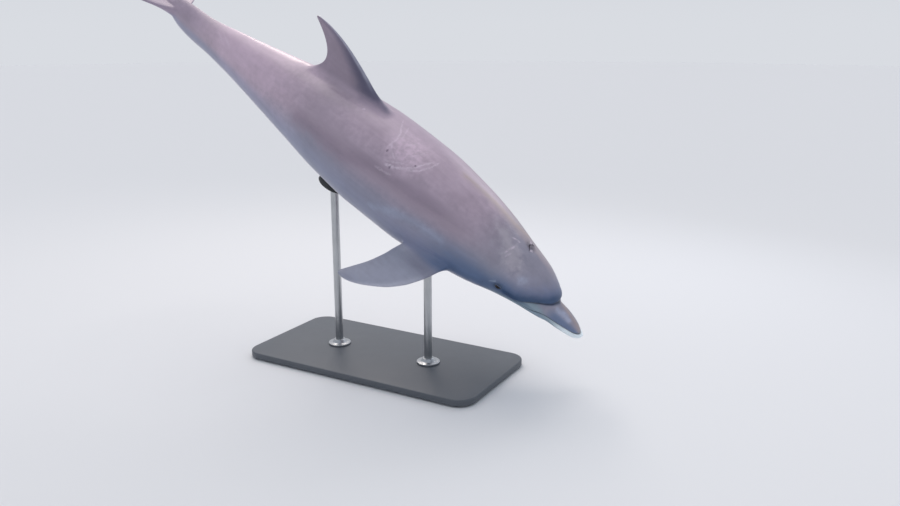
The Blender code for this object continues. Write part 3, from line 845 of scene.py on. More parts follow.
def body_markings(places):
    """How strongly each marking of the head and trunk shows at each point, from 0 to 1."""
    s, y, z = places.T
    turn = turn_round(places)
    signed = np.where(y > 0, turn, -turn)
    beak = 1 - smooth_step(s, 0.10, 0.15)
    under_lip = smooth_step(mouth_line(s) - z, -0.0008, 0.0012)
    lip_depth = 0.022 - 0.016 * smooth_step(s, 0.035, 0.12)
    lip_band = under_lip * (1 - smooth_step(mouth_line(s) - z, lip_depth, lip_depth + 0.013))
    behind_crease = s - melon_crease(turn)
    from_gape = line_distance(s, turn, GAPE_STRIPE_AND_SHADE_LINE)
    melon_side = np.maximum(smooth_step(behind_crease, -0.004, 0.004), smooth_step(turn, 90, 100))
    # The gape band is partly a real dark stripe and partly painted shade under the overhanging melon.
    gape = hump(from_gape, 0.0050) + melon_side * (hump(from_gape, 0.017) - hump(from_gape, 0.0050))
    brow_shade = hump(from_gape, 0.044) * melon_side * (1 - 0.5 * smooth_step(turn, 96, 110))
    from_eye = np.hypot(s - EYE_PLACE[0], z - EYE_PLACE[1])
    from_blowhole = np.hypot(s - BLOWHOLE[0], y - BLOWHOLE[1])
    jaw = smooth_step(turn, jaw_edge(s) - 8, jaw_edge(s) + 8) * (1 - smooth_step(s, 0.26, 0.40))
    jaw = np.maximum(jaw * smooth_step(s, 0.10, 0.18), under_lip * (1 - smooth_step(s, 0.13, 0.20)))
    return {
        "cape": 1 - smooth_step(turn, cape_edge(s) - 13, cape_edge(s) + 13),
        "melon": 1 - smooth_step(s, 0.34, 0.56),
        "back": window(s, 0.62, 1.04, 0.22) * (1 - smooth_step(turn, 26, 60)),
        "neck_light": hump(line_distance(s, signed, PALE_NECK), 0.034),
        # painted shadow at the dorsal fin's root
        "painted_fin_root_shadow": hump(line_distance(s, turn, FIN_ROOT_SHADOW_LINE), 0.020),
        "stock": smooth_step(s, 1.22, 1.62) * (1 - 0.75 * smooth_step(s, 1.80, 2.05))
                 * (1 - 0.5 * smooth_step(turn, 60, 130)),
        "tail_root": smooth_step(s, 1.90, 2.15),
        # Painted shade: the lower flank darker and bluer, where the light from above falls away
        "painted_lower_flank_shade": smooth_step(turn, 84, 112),
        # Painted shade: the side of the head and chest below the eye darker and bluer
        "painted_chest_side_shade": smooth_step(turn, 66, 96) * (smooth_step(s, 0.20, 0.40) - smooth_step(s, 0.44, 0.70)),
        "left_side": smooth_step(signed, 24, 70) * (1 - smooth_step(s, 1.70, 2.15)),
        "belly": smooth_step(turn, 118, 150) * (1 - 0.6 * smooth_step(s, 1.6, 2.1)),
        # painted shade along the flank hollow
        "flank_hollow_shade": hump(line_distance(s, turn, FLANK_HOLLOW_SHADE_LINE), 0.026) * smooth_step(s, 0.48, 0.72),
        "sheen": hump(line_distance(s, turn, FLANK_SHEEN), 0.016),
        # painted shade under the flipper's root
        "armpit": hump(line_distance(s, turn, ARMPIT_SHADE_LINE), 0.036),
        "warm_crown": window(signed, 4, 40, 12) * window(s, 0.30, 0.66, 0.14),
        "brow_streak": hump(line_distance(s, turn, PALE_BROW), 0.0042),
        "nostril": hump(np.maximum(from_blowhole - 0.008, 0), 0.012) * (turn < 60),
        "jaw": jaw,
        "brow_shade": brow_shade,
        "beak_side": beak * smooth_step(turn, 28, 62),
        "gape": np.clip(gape * 1.1, 0, 1),
        "eye_ring": hump(np.maximum(from_eye - 0.010, 0), 0.012),
        "tan": hump(line_distance(s, signed, TAN_RIDGE), 0.010) * beak
               + hump(line_distance(s, signed, CROWN_STREAK), 0.012),
        # pale: a pale cheek patch, and a painted highlight along the beak
        "pale": 0.45 * hump(line_distance(s, signed, PALE_CHEEK), 0.011)
                + hump(line_distance(s, signed, BEAK_HIGHLIGHT_LINE), 0.010),
        "white_lip": lip_band * (1 - smooth_step(s, 0.035, 0.15)),
    }


def fin_markings(kind, chord, share, underside):
    """How strongly each marking of the fins shows at each point, from 0 to 1."""
    dorsal = (kind == FIN_KINDS["dorsal"]) * 1.0
    paired = (kind > 0) * (1 - dorsal)
    flipper = (kind == FIN_KINDS["flipper"]) * 1.0
    fluke = (kind == FIN_KINDS["fluke"]) * 1.0
    # Painted shade: the dorsal fin darker along its thick leading part, widest at its base; the flippers get
    # half as much near the front of their roots.
    painted_fin_shade = (1 - smooth_step(chord, 0.10, 0.52)) * (1 - 0.75 * smooth_step(share, 0.30, 0.95))
    wrist = (1 - smooth_step(share, 0.05, 0.3)) * (1 - smooth_step(chord, 0.3, 0.9))
    # Paler leading edges; on the dorsal fin a thin painted highlight, the bright rim along its leading edge
    leading = 1 - smooth_step(chord, 0.0, 0.10)
    return {
        "sail": dorsal,
        "paddle": flipper,
        "fluke": fluke,
        "under_fin": (flipper + 0.35 * fluke) * smooth_step(underside, 0.1, 0.6),
        "painted_fin_shade": dorsal * painted_fin_shade + flipper * 0.5 * wrist,
        "fin_edge_and_rim_highlight": (flipper * leading + dorsal * 0.8 * leading ** 3) * smooth_step(share, 0.1, 0.4),
        "fin_tip": paired * smooth_step(share, 0.7, 1.0),
    }


# ---------------------------------------------------------------- skin material

SKIN_TONES = (             # marking, colour, strength, how ragged its edge is
    ("cape", "#a393a1", 0.90, 0.15),
    ("melon", "#8f909f", 0.75, 0.10),
    ("warm_crown", "#ae9c9c", 0.45, 0.40),
    ("back", "#b7a4b4", 0.65, 0.35),
    ("neck_light", "#b4acb6", 0.72, 0.60),
    ("stock", "#c5afc0", 0.85, 0.15),
    ("tail_root", "#9d8ea0", 0.75, 0.15),
    # painted shade on the lower flank
    ("painted_lower_flank_shade", "#7d85a2", 0.60, 0.10),
    # painted shade on the side of the head and chest
    ("painted_chest_side_shade", "#4f678a", 0.80, 0.10),
    ("left_side", "#908f98", 0.55, 0.20),
    ("belly", "#cdc5cd", 0.90, 0.20),
    # painted shade along the flank hollow
    ("flank_hollow_shade", "#77697a", 0.45, 0.40),
    ("sheen", "#9aa3bb", 0.45, 0.30),
    # painted shade under the flipper's root
    ("armpit", "#44587a", 0.60, 0.15),
    # painted shadow at the dorsal fin's root
    ("painted_fin_root_shadow", "#4d4c65", 0.75, 0.20),
    ("sail", "#8f8292", 0.60, 0.20),
    ("paddle", "#9b9dad", 0.92, 0.08),
    ("fluke", "#9d8ea0", 0.90, 0.10),
    ("under_fin", "#b3afbd", 0.80, 0.10),
    # painted shade on the fins
    ("painted_fin_shade", "#4d4c65", 0.90, 0.15),
    ("brow_shade", "#3f5d88", 0.66, 0.10),
    ("beak_side", "#567096", 0.66, 0.10),
    ("jaw", "#8a9fab", 0.80, 0.10),
    # dark stripe at the gape, with painted shade under the melon
    ("gape", "#2f4768", 0.92, 0.12),
    ("eye_ring", "#41526d", 0.75, 0.25),
    ("brow_streak", "#9fadbf", 0.50, 0.90),
    ("nostril", "#585360", 0.75, 0.40),
    ("tan", "#a89690", 0.65, 0.40),
    # pale cheek patch, and a painted highlight along the beak
    ("pale", "#aab0c6", 0.70, 0.50),
    # paler leading edges, with a painted highlight rim on the dorsal fin
    ("fin_edge_and_rim_highlight", "#b9bac8", 0.60, 0.15),
    ("fin_tip", "#7d8093", 0.35, 0.20),
    ("white_lip", "#f2fbff", 0.92, 0.06),
    # painted shade in the folds: mouth slit, melon notch, blowhole, ear, belly slits and round the lids
    ("painted_crease_shade", "#2b2c38", 0.85, 0.00),
)
FLANK_TONE = "#8b8a9c"
SCAR_AND_GLINT_TONE = "#d6c8d6"
SCARS_AND_GLINTS = (                  # half width, strength, places along it as s and turn in degrees
    (0.003, 0.42, ((0.981, 7), (0.958, -4), (0.936, -13), (0.926, -22), (0.929, -35))),
    (0.0025, 0.30, ((0.940, 2), (0.925, -8), (0.916, -16))),
    (0.00325, 0.60, ((0.891, -50), (0.855, -47), (0.825, -42), (0.800, -35), (0.784, -26), (0.765, -15))),
    (0.003, 0.52, ((0.809, -41), (0.778, -34), (0.757, -23), (0.751, -11))),
    (0.00225, 0.35, ((0.902, -47), (0.868, -43), (0.838, -38))),
    (0.0025, 0.34, ((0.880, -20), (0.862, -8))),
    (0.0025, 0.36, ((0.933, -27), (0.905, -36), (0.876, -40))),
    (0.00225, 0.28, ((0.918, -57), (0.880, -57), (0.850, -55))),
    (0.00225, 0.26, ((0.846, -30), (0.822, -20), (0.812, -10))),
    (0.003, 0.75, ((0.397, -16), (0.371, -12))),
    (0.00275, 0.60, ((0.386, -40), (0.374, -25))),
    (0.0025, 0.40, ((0.378, -46), (0.369, -38))),
    (0.00425, 0.50, ((1.113, -16), (1.110, -15))),
    # These two are painted highlights, not scars: the wet glints at the horns of the blowhole, painted pale
    (0.00425, 0.85, ((0.3235, -8), (0.3195, -4))),
    (0.00375, 0.75, ((0.3395, 8), (0.3425, 12))),
    (0.002, 0.25, ((1.470, 20), (1.410, 30), (1.360, 36))),
    (0.002, 0.22, ((1.480, 25), (1.415, 36))),
    (0.002, 0.25, ((0.620, 40), (0.700, 52), (0.760, 57))),
    (0.002, 0.20, ((0.600, 44), (0.680, 57))),
    (0.002, 0.25, ((1.860, -30), (1.780, -58))),
    (0.002, 0.20, ((1.900, -33), (1.825, -58))),
)
STREAK_LENGTH = 0.66       # half length of a streak as a share of its step, as it fades towards its ends
STREAK_WIDTH = 1.5
STREAK_SHARPNESS = 2.4       # how fast a streak comes to its full strength from its edge
PITS = ((0.918, -38), (0.869, -50), (0.798, -32))
PIT_SIZE = (0.003, 0.0040) # length and half width
SCAR_PATCH = (0.856, -22, 0.120, 0.100)    # s, turn, half length, half width
PATCH_SHARPNESS = 1.5
PATCH_STRENGTH = 0.75


def mark_place(s, turn):
    return Vector((s, float(half_width(s)) * math.sin(math.radians(turn)), 0.0))


def streak(tree, flat, start, end, half):
    """A tapering streak from start to end on the flattened back, 1 along its middle."""
    step = end - start
    middle = (start + end) / 2
    centred = node(tree, "Mapping",
                   {"Vector": flat, "Location": middle, "Rotation": (0, 0, math.atan2(step.y, step.x)),
                    "Scale": (step.length * STREAK_LENGTH + half, half * STREAK_WIDTH, 1)},
                   vector_type="TEXTURE")
    return node(tree, "TexGradient", {0: centred}, gradient_type="SPHERICAL").outputs["Fac"]


def scar_and_glint_marks(tree, body, wander):
    """Every scar and pit of the back as two factors, from places on the straight body; two of the scar
    streaks are painted highlights, the glints at the blowhole.
    """
    apart = node(tree, "SeparateXYZ", {0: body})
    jitter = node(tree, "VectorMath", {0: wander, 1: (0.5, 0.5, 0.5)}, operation="SUBTRACT")
    jitter = node(tree, "VectorMath", {0: jitter, "Scale": 0.010}, operation="SCALE")
    moved = node(tree, "VectorMath", {0: body, 1: jitter}, operation="ADD")
    flat = node(tree, "VectorMath", {0: moved, 1: (1, 1, 0)}, operation="MULTIPLY")
    upper = node(tree, "MapRange", {0: apart.outputs[2], 1: 0.0, 2: 0.02})
    lines = None
    for half, strength, line in SCARS_AND_GLINTS:
        corners = [mark_place(*place) for place in line]
        for start, end in zip(corners[:-1], corners[1:]):
            made = node(tree, "Math", {0: streak(tree, flat, start, end, half), 1: strength * STREAK_SHARPNESS},
                        operation="MULTIPLY", use_clamp=True)
            weaker = node(tree, "Math", {0: made, 1: strength}, operation="MINIMUM")
            lines = node(tree, "Math", {0: lines, 1: weaker}, operation="MAXIMUM") if lines else weaker
    pits = None
    for place in PITS:
        middle = mark_place(*place)
        spot = streak(tree, flat, middle, middle + Vector((PIT_SIZE[0], 0, 0)), PIT_SIZE[1])
        pits = node(tree, "Math", {0: pits, 1: spot}, operation="MAXIMUM") if pits else spot
    s, turn, long_half, wide_half = SCAR_PATCH
    patch = node(tree, "Mapping",
                 {"Vector": flat, "Location": mark_place(s, turn), "Scale": (long_half, wide_half, 1)},
                 vector_type="TEXTURE")
    patch = node(tree, "TexGradient", {0: patch}, gradient_type="SPHERICAL")
    return [node(tree, "Math", {0: mark, 1: upper}, operation="MULTIPLY")
            for mark in (lines, pits, patch.outputs["Fac"])]


def skin_material():
    """Dolphin skin as a cast and airbrushed museum finish: soft cloudy tones, satin all over, with old tooth
    rakes that stay paler and rougher than the skin round them. Some markings are painted light: painted shade
    in the folds, on the lower flank and chest, along the flank hollow, at the gape, under the flipper root
    and on the fins, and painted highlights on the beak, at the blowhole and along the dorsal fin's leading
    edge."""
    material, tree = new_material("airbrushed satin dolphin skin")
    body = node(tree, "Attribute", attribute_name="body").outputs["Vector"]
    # Clouds 110 mm across, mottling 22 mm across and streaks that run with the flow of the water
    cloud = node(tree, "TexNoise", {"Vector": body, "Scale": 9.0, "Detail": 3.0, "Roughness": 0.55})
    mottle = node(tree, "TexNoise", {"Vector": body, "Scale": 45.0, "Detail": 4.0, "Roughness": 0.6})
    along = node(tree, "Mapping", {"Vector": body, "Scale": (4.0, 70.0, 70.0)})
    flow = node(tree, "TexNoise", {"Vector": along, "Scale": 1.0, "Detail": 3.0})
    broad = node(tree, "Mapping", {"Vector": body, "Scale": (2.6, 20.0, 20.0)})
    broad = node(tree, "TexNoise", {"Vector": broad, "Scale": 1.0, "Detail": 3.0, "Distortion": 0.6})
    # Freckles about 4 mm across, few and faint
    freckle = node(tree, "TexVoronoi", {"Vector": body, "Scale": 90.0, "Randomness": 1.0})
    freckle = node(tree, "MapRange", {0: freckle, 1: 0.10, 2: 0.26, 3: 1.0, 4: 0.0})
    sparse = node(tree, "MapRange", {0: mottle, 1: 0.56, 2: 0.68})
    freckle = node(tree, "Math", {0: freckle, 1: sparse}, operation="MULTIPLY")
    wobble = node(tree, "Math", {0: cloud, 1: mottle}, operation="ADD")
    wobble = node(tree, "Math", {0: wobble, 1: -1.0}, operation="ADD")

    colour = FLANK_TONE
    for name, tone, strength, ragged in SKIN_TONES:
        mark = node(tree, "Attribute", attribute_name=name).outputs["Fac"]
        # The edge wavers where the marking is half strong, and not where it is absent or full.
        inner = node(tree, "Math", {0: 1.0, 1: mark}, operation="SUBTRACT")
        edge = node(tree, "Math", {0: mark, 1: inner}, operation="MULTIPLY")
        edge = node(tree, "Math", {0: edge, 1: 16.0 * ragged}, operation="MULTIPLY")
        wavering = node(tree, "Math", {0: wobble, 1: edge, 2: mark},
                        operation="MULTIPLY_ADD", use_clamp=True)
        share = node(tree, "Math", {0: wavering, 1: strength}, operation="MULTIPLY")
        colour = node(tree, "Mix", {0: share, 6: colour, 7: tone}, data_type="RGBA")

    frayed = node(tree, "TexNoise", {"Vector": body, "Scale": 110.0, "Detail": 3.0, "Roughness": 0.7})
    # The scar streaks include two painted highlights, the glints at the blowhole.
    scars_and_glints, pits, patch = scar_and_glint_marks(tree, body, frayed.outputs["Color"])
    ragged_patch = node(tree, "MapRange", {0: mottle, 1: 0.38, 2: 0.62, 3: 0.25, 4: 1.0})
    patch = node(tree, "Math", {0: patch, 1: ragged_patch}, operation="MULTIPLY")
    patch = node(tree, "Math", {0: patch, 1: PATCH_SHARPNESS}, operation="MULTIPLY", use_clamp=True)
    patch = node(tree, "Math", {0: patch, 1: PATCH_STRENGTH}, operation="MULTIPLY")
    colour = node(tree, "Mix", {0: patch, 6: colour, 7: "#cdb7c9"}, data_type="RGBA")
    broken = node(tree, "MapRange", {0: frayed, 1: 0.38, 2: 0.58, 3: 0.25, 4: 1.0})
    scars_and_glints = node(tree, "Math", {0: scars_and_glints, 1: broken}, operation="MULTIPLY")
    colour = node(tree, "Mix", {0: scars_and_glints, 6: colour, 7: SCAR_AND_GLINT_TONE}, data_type="RGBA")
    colour = node(tree, "Mix", {0: pits, 6: colour, 7: "#6d6070"}, data_type="RGBA")

    # Lighter and darker by a few parts in a hundred
    light = 0.55
    for part, amount in ((cloud, 0.34), (mottle, 0.20), (flow, 0.16), (broad, 0.26), (freckle, -0.09)):
        light = node(tree, "Math", {0: part, 1: amount, 2: light}, operation="MULTIPLY_ADD")
    colour = node(tree, "VectorMath", {0: colour, "Scale": light}, operation="SCALE")

    # Satin where it is whole; the scar streaks, the painted blowhole glints and the folds are duller
    shine = node(tree, "MapRange", {0: mottle, 1: 0.3, 2: 0.7, 3: 0.34, 4: 0.46})
    shine = node(tree, "Math", {0: scars_and_glints, 1: 0.16, 2: shine}, operation="MULTIPLY_ADD")
    fold = node(tree, "Attribute", attribute_name="painted_crease_shade").outputs["Fac"]
    shine = node(tree, "Math", {0: fold, 1: 0.15, 2: shine}, operation="MULTIPLY_ADD")

    # Fine skin ridges are 0.4 mm apart in life; they are drawn 3 mm apart so that they show up close
    ridges = node(tree, "Mapping", {"Vector": body, "Scale": (330.0, 60.0, 60.0)})
    height = node(tree, "TexNoise", {"Vector": ridges, "Scale": 1.0, "Detail": 2.0})
    for part, amount in ((mottle, 0.6), (scars_and_glints, 1.6), (pits, -2.5)):
        height = node(tree, "Math", {0: part, 1: amount, 2: height}, operation="MULTIPLY_ADD")
    bump = node(tree, "Bump", {"Height": height, "Strength": 0.35, "Distance": 0.0006})

    shader = node(tree, "BsdfPrincipled",
                  {"Base Color": colour, "Roughness": shine, "Normal": bump,
                   "IOR": 1.42, "Coat Weight": 0.10, "Coat Roughness": 0.30})
    node(tree, "OutputMaterial", {"Surface": shader})
    return material


# ---------------------------------------------------------------- the skin

FIN_KINDS = {"dorsal": 1, "flipper": 2, "fluke": 3}
FINS = (                   # name, side, patch of the body, reach of the root, reach of the tip, rings
    ("dorsal", 0, (1.035, 1.420, 0.0, 8.0), (0.17, 0.13), 1.0, 28),
    ("flipper", 1, (0.530, 0.692, 123.75, 8.0), (0.010, 0.100), FLIPPER_EDGES[-1][0], 40),
    ("flipper", -1, (0.530, 0.692, 123.75, 8.0), (0.010, 0.100), FLIPPER_EDGES[-1][0], 40),
    ("fluke", 1, (2.226, 2.408, 90.0, 17.0), (0.036, 0.016), FLUKE_EDGES[-1][0], 32),
    ("fluke", -1, (2.226, 2.408, 90.0, 17.0), (0.036, 0.016), FLUKE_EDGES[-1][0], 32),
)
ROOT_SOFTENING = {"dorsal": (5, 20), "flipper": (5, 20), "fluke": (9, 40)}     # rings of the skin, rounds
FIN_PLACES = {"dorsal": lambda side: dorsal_fin_place,
              "flipper": lambda side: lambda *where: flipper_place(side, *where),
              "fluke": lambda side: lambda *where: fluke_place(side, *where)}


def straight_skin():
    """The whole skin on the straight body: body, folds, lids and fins as one closed mesh."""
    bm = make_tube()
    bm.verts.layers.float_vector.new("patch")
    bm.verts.layers.float.new("fin")
    painted_crease_shade = bm.verts.layers.float.new("painted_crease_shade")
    refine_tube(bm)
    rims = []
    for _, side, (start, end, turn, half_turn), *_ in FINS:
        centre = turn * (side or 1)
        rims.append(open_patch(bm, start, end, centre - half_turn, centre + half_turn))
    tube = read_places(bm)
    turn = np.arctan2(tube[:, 1], tube[:, 2])
    write_places(bm, on_body(tube[:, 0], turn, np.where(np.hypot(tube[:, 1], tube[:, 2]) < 0.01, 0.0, 1.0)))
    cut_mouth(bm)
    # How deep in a fold each point is, kept as painted shade for the folds
    for vertex, depth in zip(bm.verts, sculpt(bm)):
        vertex[painted_crease_shade] = depth
    for (kind, side, _, root_reach, tip_reach, rings), rim in zip(FINS, rims):
        rim_verts = each_once(vertex for edge in rim for vertex in edge.verts)
        flip = -1 if side == 1 and kind != "dorsal" else 1
        grow_fin(bm, rim, FIN_KINDS[kind], FIN_PLACES[kind](side), root_reach, tip_reach, rings, flip)
        soften(bm, rim_verts, *ROOT_SOFTENING[kind])
    face_outwards(bm)
    return bm


def make_skin(material):
    bm = straight_skin()
    bm.normal_update()
    places = read_places(bm)
    underside = np.array([-vertex.normal.z for vertex in bm.verts])
    patch = np.array([vertex[bm.verts.layers.float_vector["patch"]][:] for vertex in bm.verts])
    kind = np.array([vertex[bm.verts.layers.float["fin"]] for vertex in bm.verts])
    painted_crease_shade = np.array([vertex[bm.verts.layers.float["painted_crease_shade"]] for vertex in bm.verts])
    on_fin = (kind > 0) * smooth_step(patch[:, 2], 0.0, 0.14)
    markings = {name: values * (1 - on_fin) for name, values in body_markings(places).items()}
    markings["cape"] = np.where(kind == FIN_KINDS["dorsal"], 1.0, markings["cape"])
    fins = fin_markings(kind, (patch[:, 0] + 1) / 2, patch[:, 2], underside)
    markings.update({name: values * on_fin for name, values in fins.items()})
    markings["painted_crease_shade"] = painted_crease_shade
    write_places(bm, posed(places))
    face_outwards(bm)
    skin = new_piece(bm, "skin", material, FLESH)
    store(skin.data, "body", places)
    for name, values in markings.items():
        store(skin.data, name, np.clip(values, 0, 1))
    return skin


# ---------------------------------------------------------------- eyes

def eye_material():
    """A wet eyeball behind its clear cornea: brown streaked iris, flat pupil, veined white at the corners."""
    material, tree = new_material("wet glassy eyeball")
    gaze = node(tree, "Attribute", attribute_name="gaze").outputs["Vector"]
    # The pupil is a flat oval 8.6 mm long and 5 mm high, and the iris 19 mm across
    pupil = node(tree, "VectorMath", {0: gaze, 1: (1 / 4.3, 1 / 2.5, 0)}, operation="MULTIPLY")
    pupil = node(tree, "VectorMath", {0: pupil}, operation="LENGTH")
    pupil = node(tree, "MapRange", {0: pupil, 1: 0.92, 2: 1.10, 3: 1.0, 4: 0.0})
    flat = node(tree, "VectorMath", {0: gaze, 1: (1, 1, 0)}, operation="MULTIPLY")
    spread = node(tree, "VectorMath", {0: flat}, operation="LENGTH")
    iris = node(tree, "MapRange", {0: spread, 1: 8.6, 2: 9.8, 3: 1.0, 4: 0.0})
    apart = node(tree, "SeparateXYZ", {0: gaze})
    angle = node(tree, "Math", {0: apart.outputs[1], 1: apart}, operation="ARCTAN2")
    rays = node(tree, "CombineXYZ", {0: angle, 1: spread})
    rays = node(tree, "Mapping", {"Vector": rays, "Scale": (9.0, 0.25, 1.0)})
    rays = node(tree, "TexNoise", {"Vector": rays, "Scale": 1.0, "Detail": 3.0})
    brown = node(tree, "Mix", {0: rays, 6: "#0d0806", 7: "#2e1d12"}, data_type="RGBA")
    veins = node(tree, "TexNoise", {"Vector": gaze, "Scale": 0.9, "Detail": 4.0, "Roughness": 0.7})
    veins = node(tree, "MapRange", {0: veins, 1: 0.40, 2: 0.66})
    white = node(tree, "Mix", {0: veins, 6: "#6f655f", 7: "#43302b"}, data_type="RGBA")
    colour = node(tree, "Mix", {0: iris, 6: white, 7: brown}, data_type="RGBA")
    colour = node(tree, "Mix", {0: pupil, 6: colour, 7: "#05070d"}, data_type="RGBA")
    film = node(tree, "Bump", {"Height": veins, "Strength": 0.06, "Distance": 0.0002})
    shader = node(tree, "BsdfPrincipled",
                  {"Base Color": colour, "Roughness": 0.30, "IOR": 1.376, "Specular IOR Level": 0.05,
                   "Coat Weight": 0.8, "Coat IOR": 1.376, "Coat Roughness": 0.03, "Normal": film})
    node(tree, "OutputMaterial", {"Surface": shader})
    return material


def make_eye(name, side, material):
    """An eyeball with the low bulge of its cornea, lying behind the lids."""
    centre, aft, up, out = eye_axes(side)
    bm = bmesh.new()
    bmesh.ops.create_uvsphere(bm, u_segments=64, v_segments=48, radius=EYE_RADIUS)
    local = read_places(bm)
    ring = np.hypot(local[:, 0], local[:, 1])
    local[:, 2] += np.where(local[:, 2] > 0, 0.0006 * (1 - smooth_step(ring, 0.003, 0.009)), 0)
    write_places(bm, posed(centre + local @ np.array([aft, up, out])))
    face_outwards(bm)
    ball = new_piece(bm, "eyeball_" + name, material, ["eye_" + name])
    store(ball.data, "gaze", local * 1000)


# ---------------------------------------------------------------- stand materials

def paint_material():
    """Sprayed satin paint on board: an even charcoal with fine orange peel, rubbed paler along its edges."""
    material, tree = new_material("sprayed satin paint on board")
    place = node(tree, "TexCoord").outputs["Object"]
    peel = node(tree, "TexNoise", {"Vector": place, "Scale": 320.0, "Detail": 2.0})
    cloud = node(tree, "TexNoise", {"Vector": place, "Scale": 6.0, "Detail": 5.0, "Roughness": 0.6})
    tone = node(tree, "Mix", {0: cloud, 6: "#4c5158", 7: "#5c6168"}, data_type="RGBA")
    # Dust specks 1.5 mm across settle in the paint
    speck = node(tree, "TexVoronoi", {"Vector": place, "Scale": 160.0})
    speck = node(tree, "MapRange", {0: speck, 1: 0.05, 2: 0.12, 3: 0.35, 4: 0.0})
    tone = node(tree, "Mix", {0: speck, 6: tone, 7: "#7a7e84"}, data_type="RGBA")
    edge = node(tree, "NewGeometry").outputs["Pointiness"]
    worn = node(tree, "MapRange", {0: edge, 1: 0.53, 2: 0.60, 4: 0.5})
    tone = node(tree, "Mix", {0: worn, 6: tone, 7: "#868a90"}, data_type="RGBA")
    shine = node(tree, "MapRange", {0: cloud, 1: 0.3, 2: 0.7, 3: 0.38, 4: 0.52})
    bump = node(tree, "Bump", {"Height": peel, "Strength": 0.25, "Distance": 0.0003})
    shader = node(tree, "BsdfPrincipled", {"Base Color": tone, "Roughness": shine, "Normal": bump})
    node(tree, "OutputMaterial", {"Surface": shader})
    return material


def steel_material():
    """Stainless steel turned and brushed round its length: soft grey with hairlines that circle the rod."""
    material, tree = new_material("turned brushed stainless steel")
    place = node(tree, "TexCoord").outputs["Object"]
    hairs = node(tree, "Mapping", {"Vector": place, "Scale": (4.0, 4.0, 700.0)})
    hairs = node(tree, "TexNoise", {"Vector": hairs, "Scale": 1.0, "Detail": 3.0})
    smear = node(tree, "TexNoise", {"Vector": place, "Scale": 14.0, "Detail": 3.0})
    tone = node(tree, "Mix", {0: smear, 6: "#a9abae", 7: "#c2c4c6"}, data_type="RGBA")
    shine = node(tree, "MapRange", {0: hairs, 1: 0.3, 2: 0.7, 3: 0.29, 4: 0.33})
    bump = node(tree, "Bump", {"Height": hairs, "Strength": 0.03, "Distance": 0.00005})
    shader = node(tree, "BsdfPrincipled",
                  {"Base Color": tone, "Metallic": 1.0, "Roughness": shine, "Normal": bump})
    node(tree, "OutputMaterial", {"Surface": shader})
    return material


def rubber_material():
    """Moulded rubber: nearly black and matt, with a grain of 1 mm and a grey bloom."""
    material, tree = new_material("moulded matt rubber")
    place = node(tree, "TexCoord").outputs["Object"]
    grain = node(tree, "TexNoise", {"Vector": place, "Scale": 900.0, "Detail": 2.0})
    bloom = node(tree, "TexNoise", {"Vector": place, "Scale": 40.0, "Detail": 4.0})
    tone = node(tree, "Mix", {0: bloom, 6: "#222326", 7: "#3a3c40"}, data_type="RGBA")
    shine = node(tree, "MapRange", {0: bloom, 1: 0.3, 2: 0.7, 3: 0.62, 4: 0.80})
    bump = node(tree, "Bump", {"Height": grain, "Strength": 0.3, "Distance": 0.0003})
    shader = node(tree, "BsdfPrincipled", {"Base Color": tone, "Roughness": shine, "Normal": bump})
    node(tree, "OutputMaterial", {"Surface": shader})
    return material


# ---------------------------------------------------------------- stand

PLINTH_HEIGHT = 0.006
PLINTH_SETBACK = 0.012
BASE_CORNER = 0.070        # radius of the board's upright corners
BASE_ROUNDS = ((0.005, 5), (0.0015, 2))    # radius and steps of its top and bottom edges
ROD_ROUND = 0.001
FOOT_GAP = 0.0004          # between the foot and the rod
FOOT_PLATE = 0.008         # thickness of the foot's flange
FOOT_ROUND = 0.0016
SCREW_PROFILE = ((0, -0.001), (0.0042, -0.001), (0.0042, 0.0012), (0.0018, 0.0020), (0.0016, 0.0004),
                 (0, 0.0004))
SCREW_TURNS = (20, 140, 260)
SCREW_INSET = 0.0085       # from the edge of the flange
SADDLE_RADIUS = 0.0575
SADDLE_DEPTH = 0.0215      # how far its underside lies below the belly
SADDLE_RISE = 0.0078       # how far its edge may reach up beside the belly
SADDLE_GAP = 0.0003
SADDLE_ROUND = 0.004


def turned(profile, sides=72):
    """A solid turned from (radius, height) points about the upright axis, closed at its poles."""
    bm = bmesh.new()
    verts = [bm.verts.new((radius, 0.0, height)) for radius, height in profile]
    edges = [bm.edges.new(pair) for pair in zip(verts[:-1], verts[1:])]
    bmesh.ops.spin(bm, geom=[*verts, *edges], cent=(0, 0, 0), axis=(0, 0, 1), angle=2 * math.pi,
                   steps=sides, use_merge=True)
    bmesh.ops.remove_doubles(bm, verts=bm.verts, dist=1e-6)
    face_outwards(bm)
    return bm


def rounded_profile(corners, radius, steps=4):
    """Turns corners of a (radius, height) profile into small arcs, all but its first and last."""
    points = [corners[0]]
    for before, here, after in zip(corners[:-2], corners[1:-1], corners[2:]):
        here_v = Vector(here)
        start = here_v + (Vector(before) - here_v).normalized() * radius
        end = here_v + (Vector(after) - here_v).normalized() * radius
        for k in range(steps + 1):
            t = k / steps
            point = start.lerp(here_v, t).lerp(here_v.lerp(end, t), t)
            points.append(tuple(point))
    return [*points, corners[-1]]


def round_edges(bm, edges, radius, steps):
    bmesh.ops.bevel(bm, geom=edges, offset=radius, segments=steps, profile=0.5, affect="EDGES", material=-1)


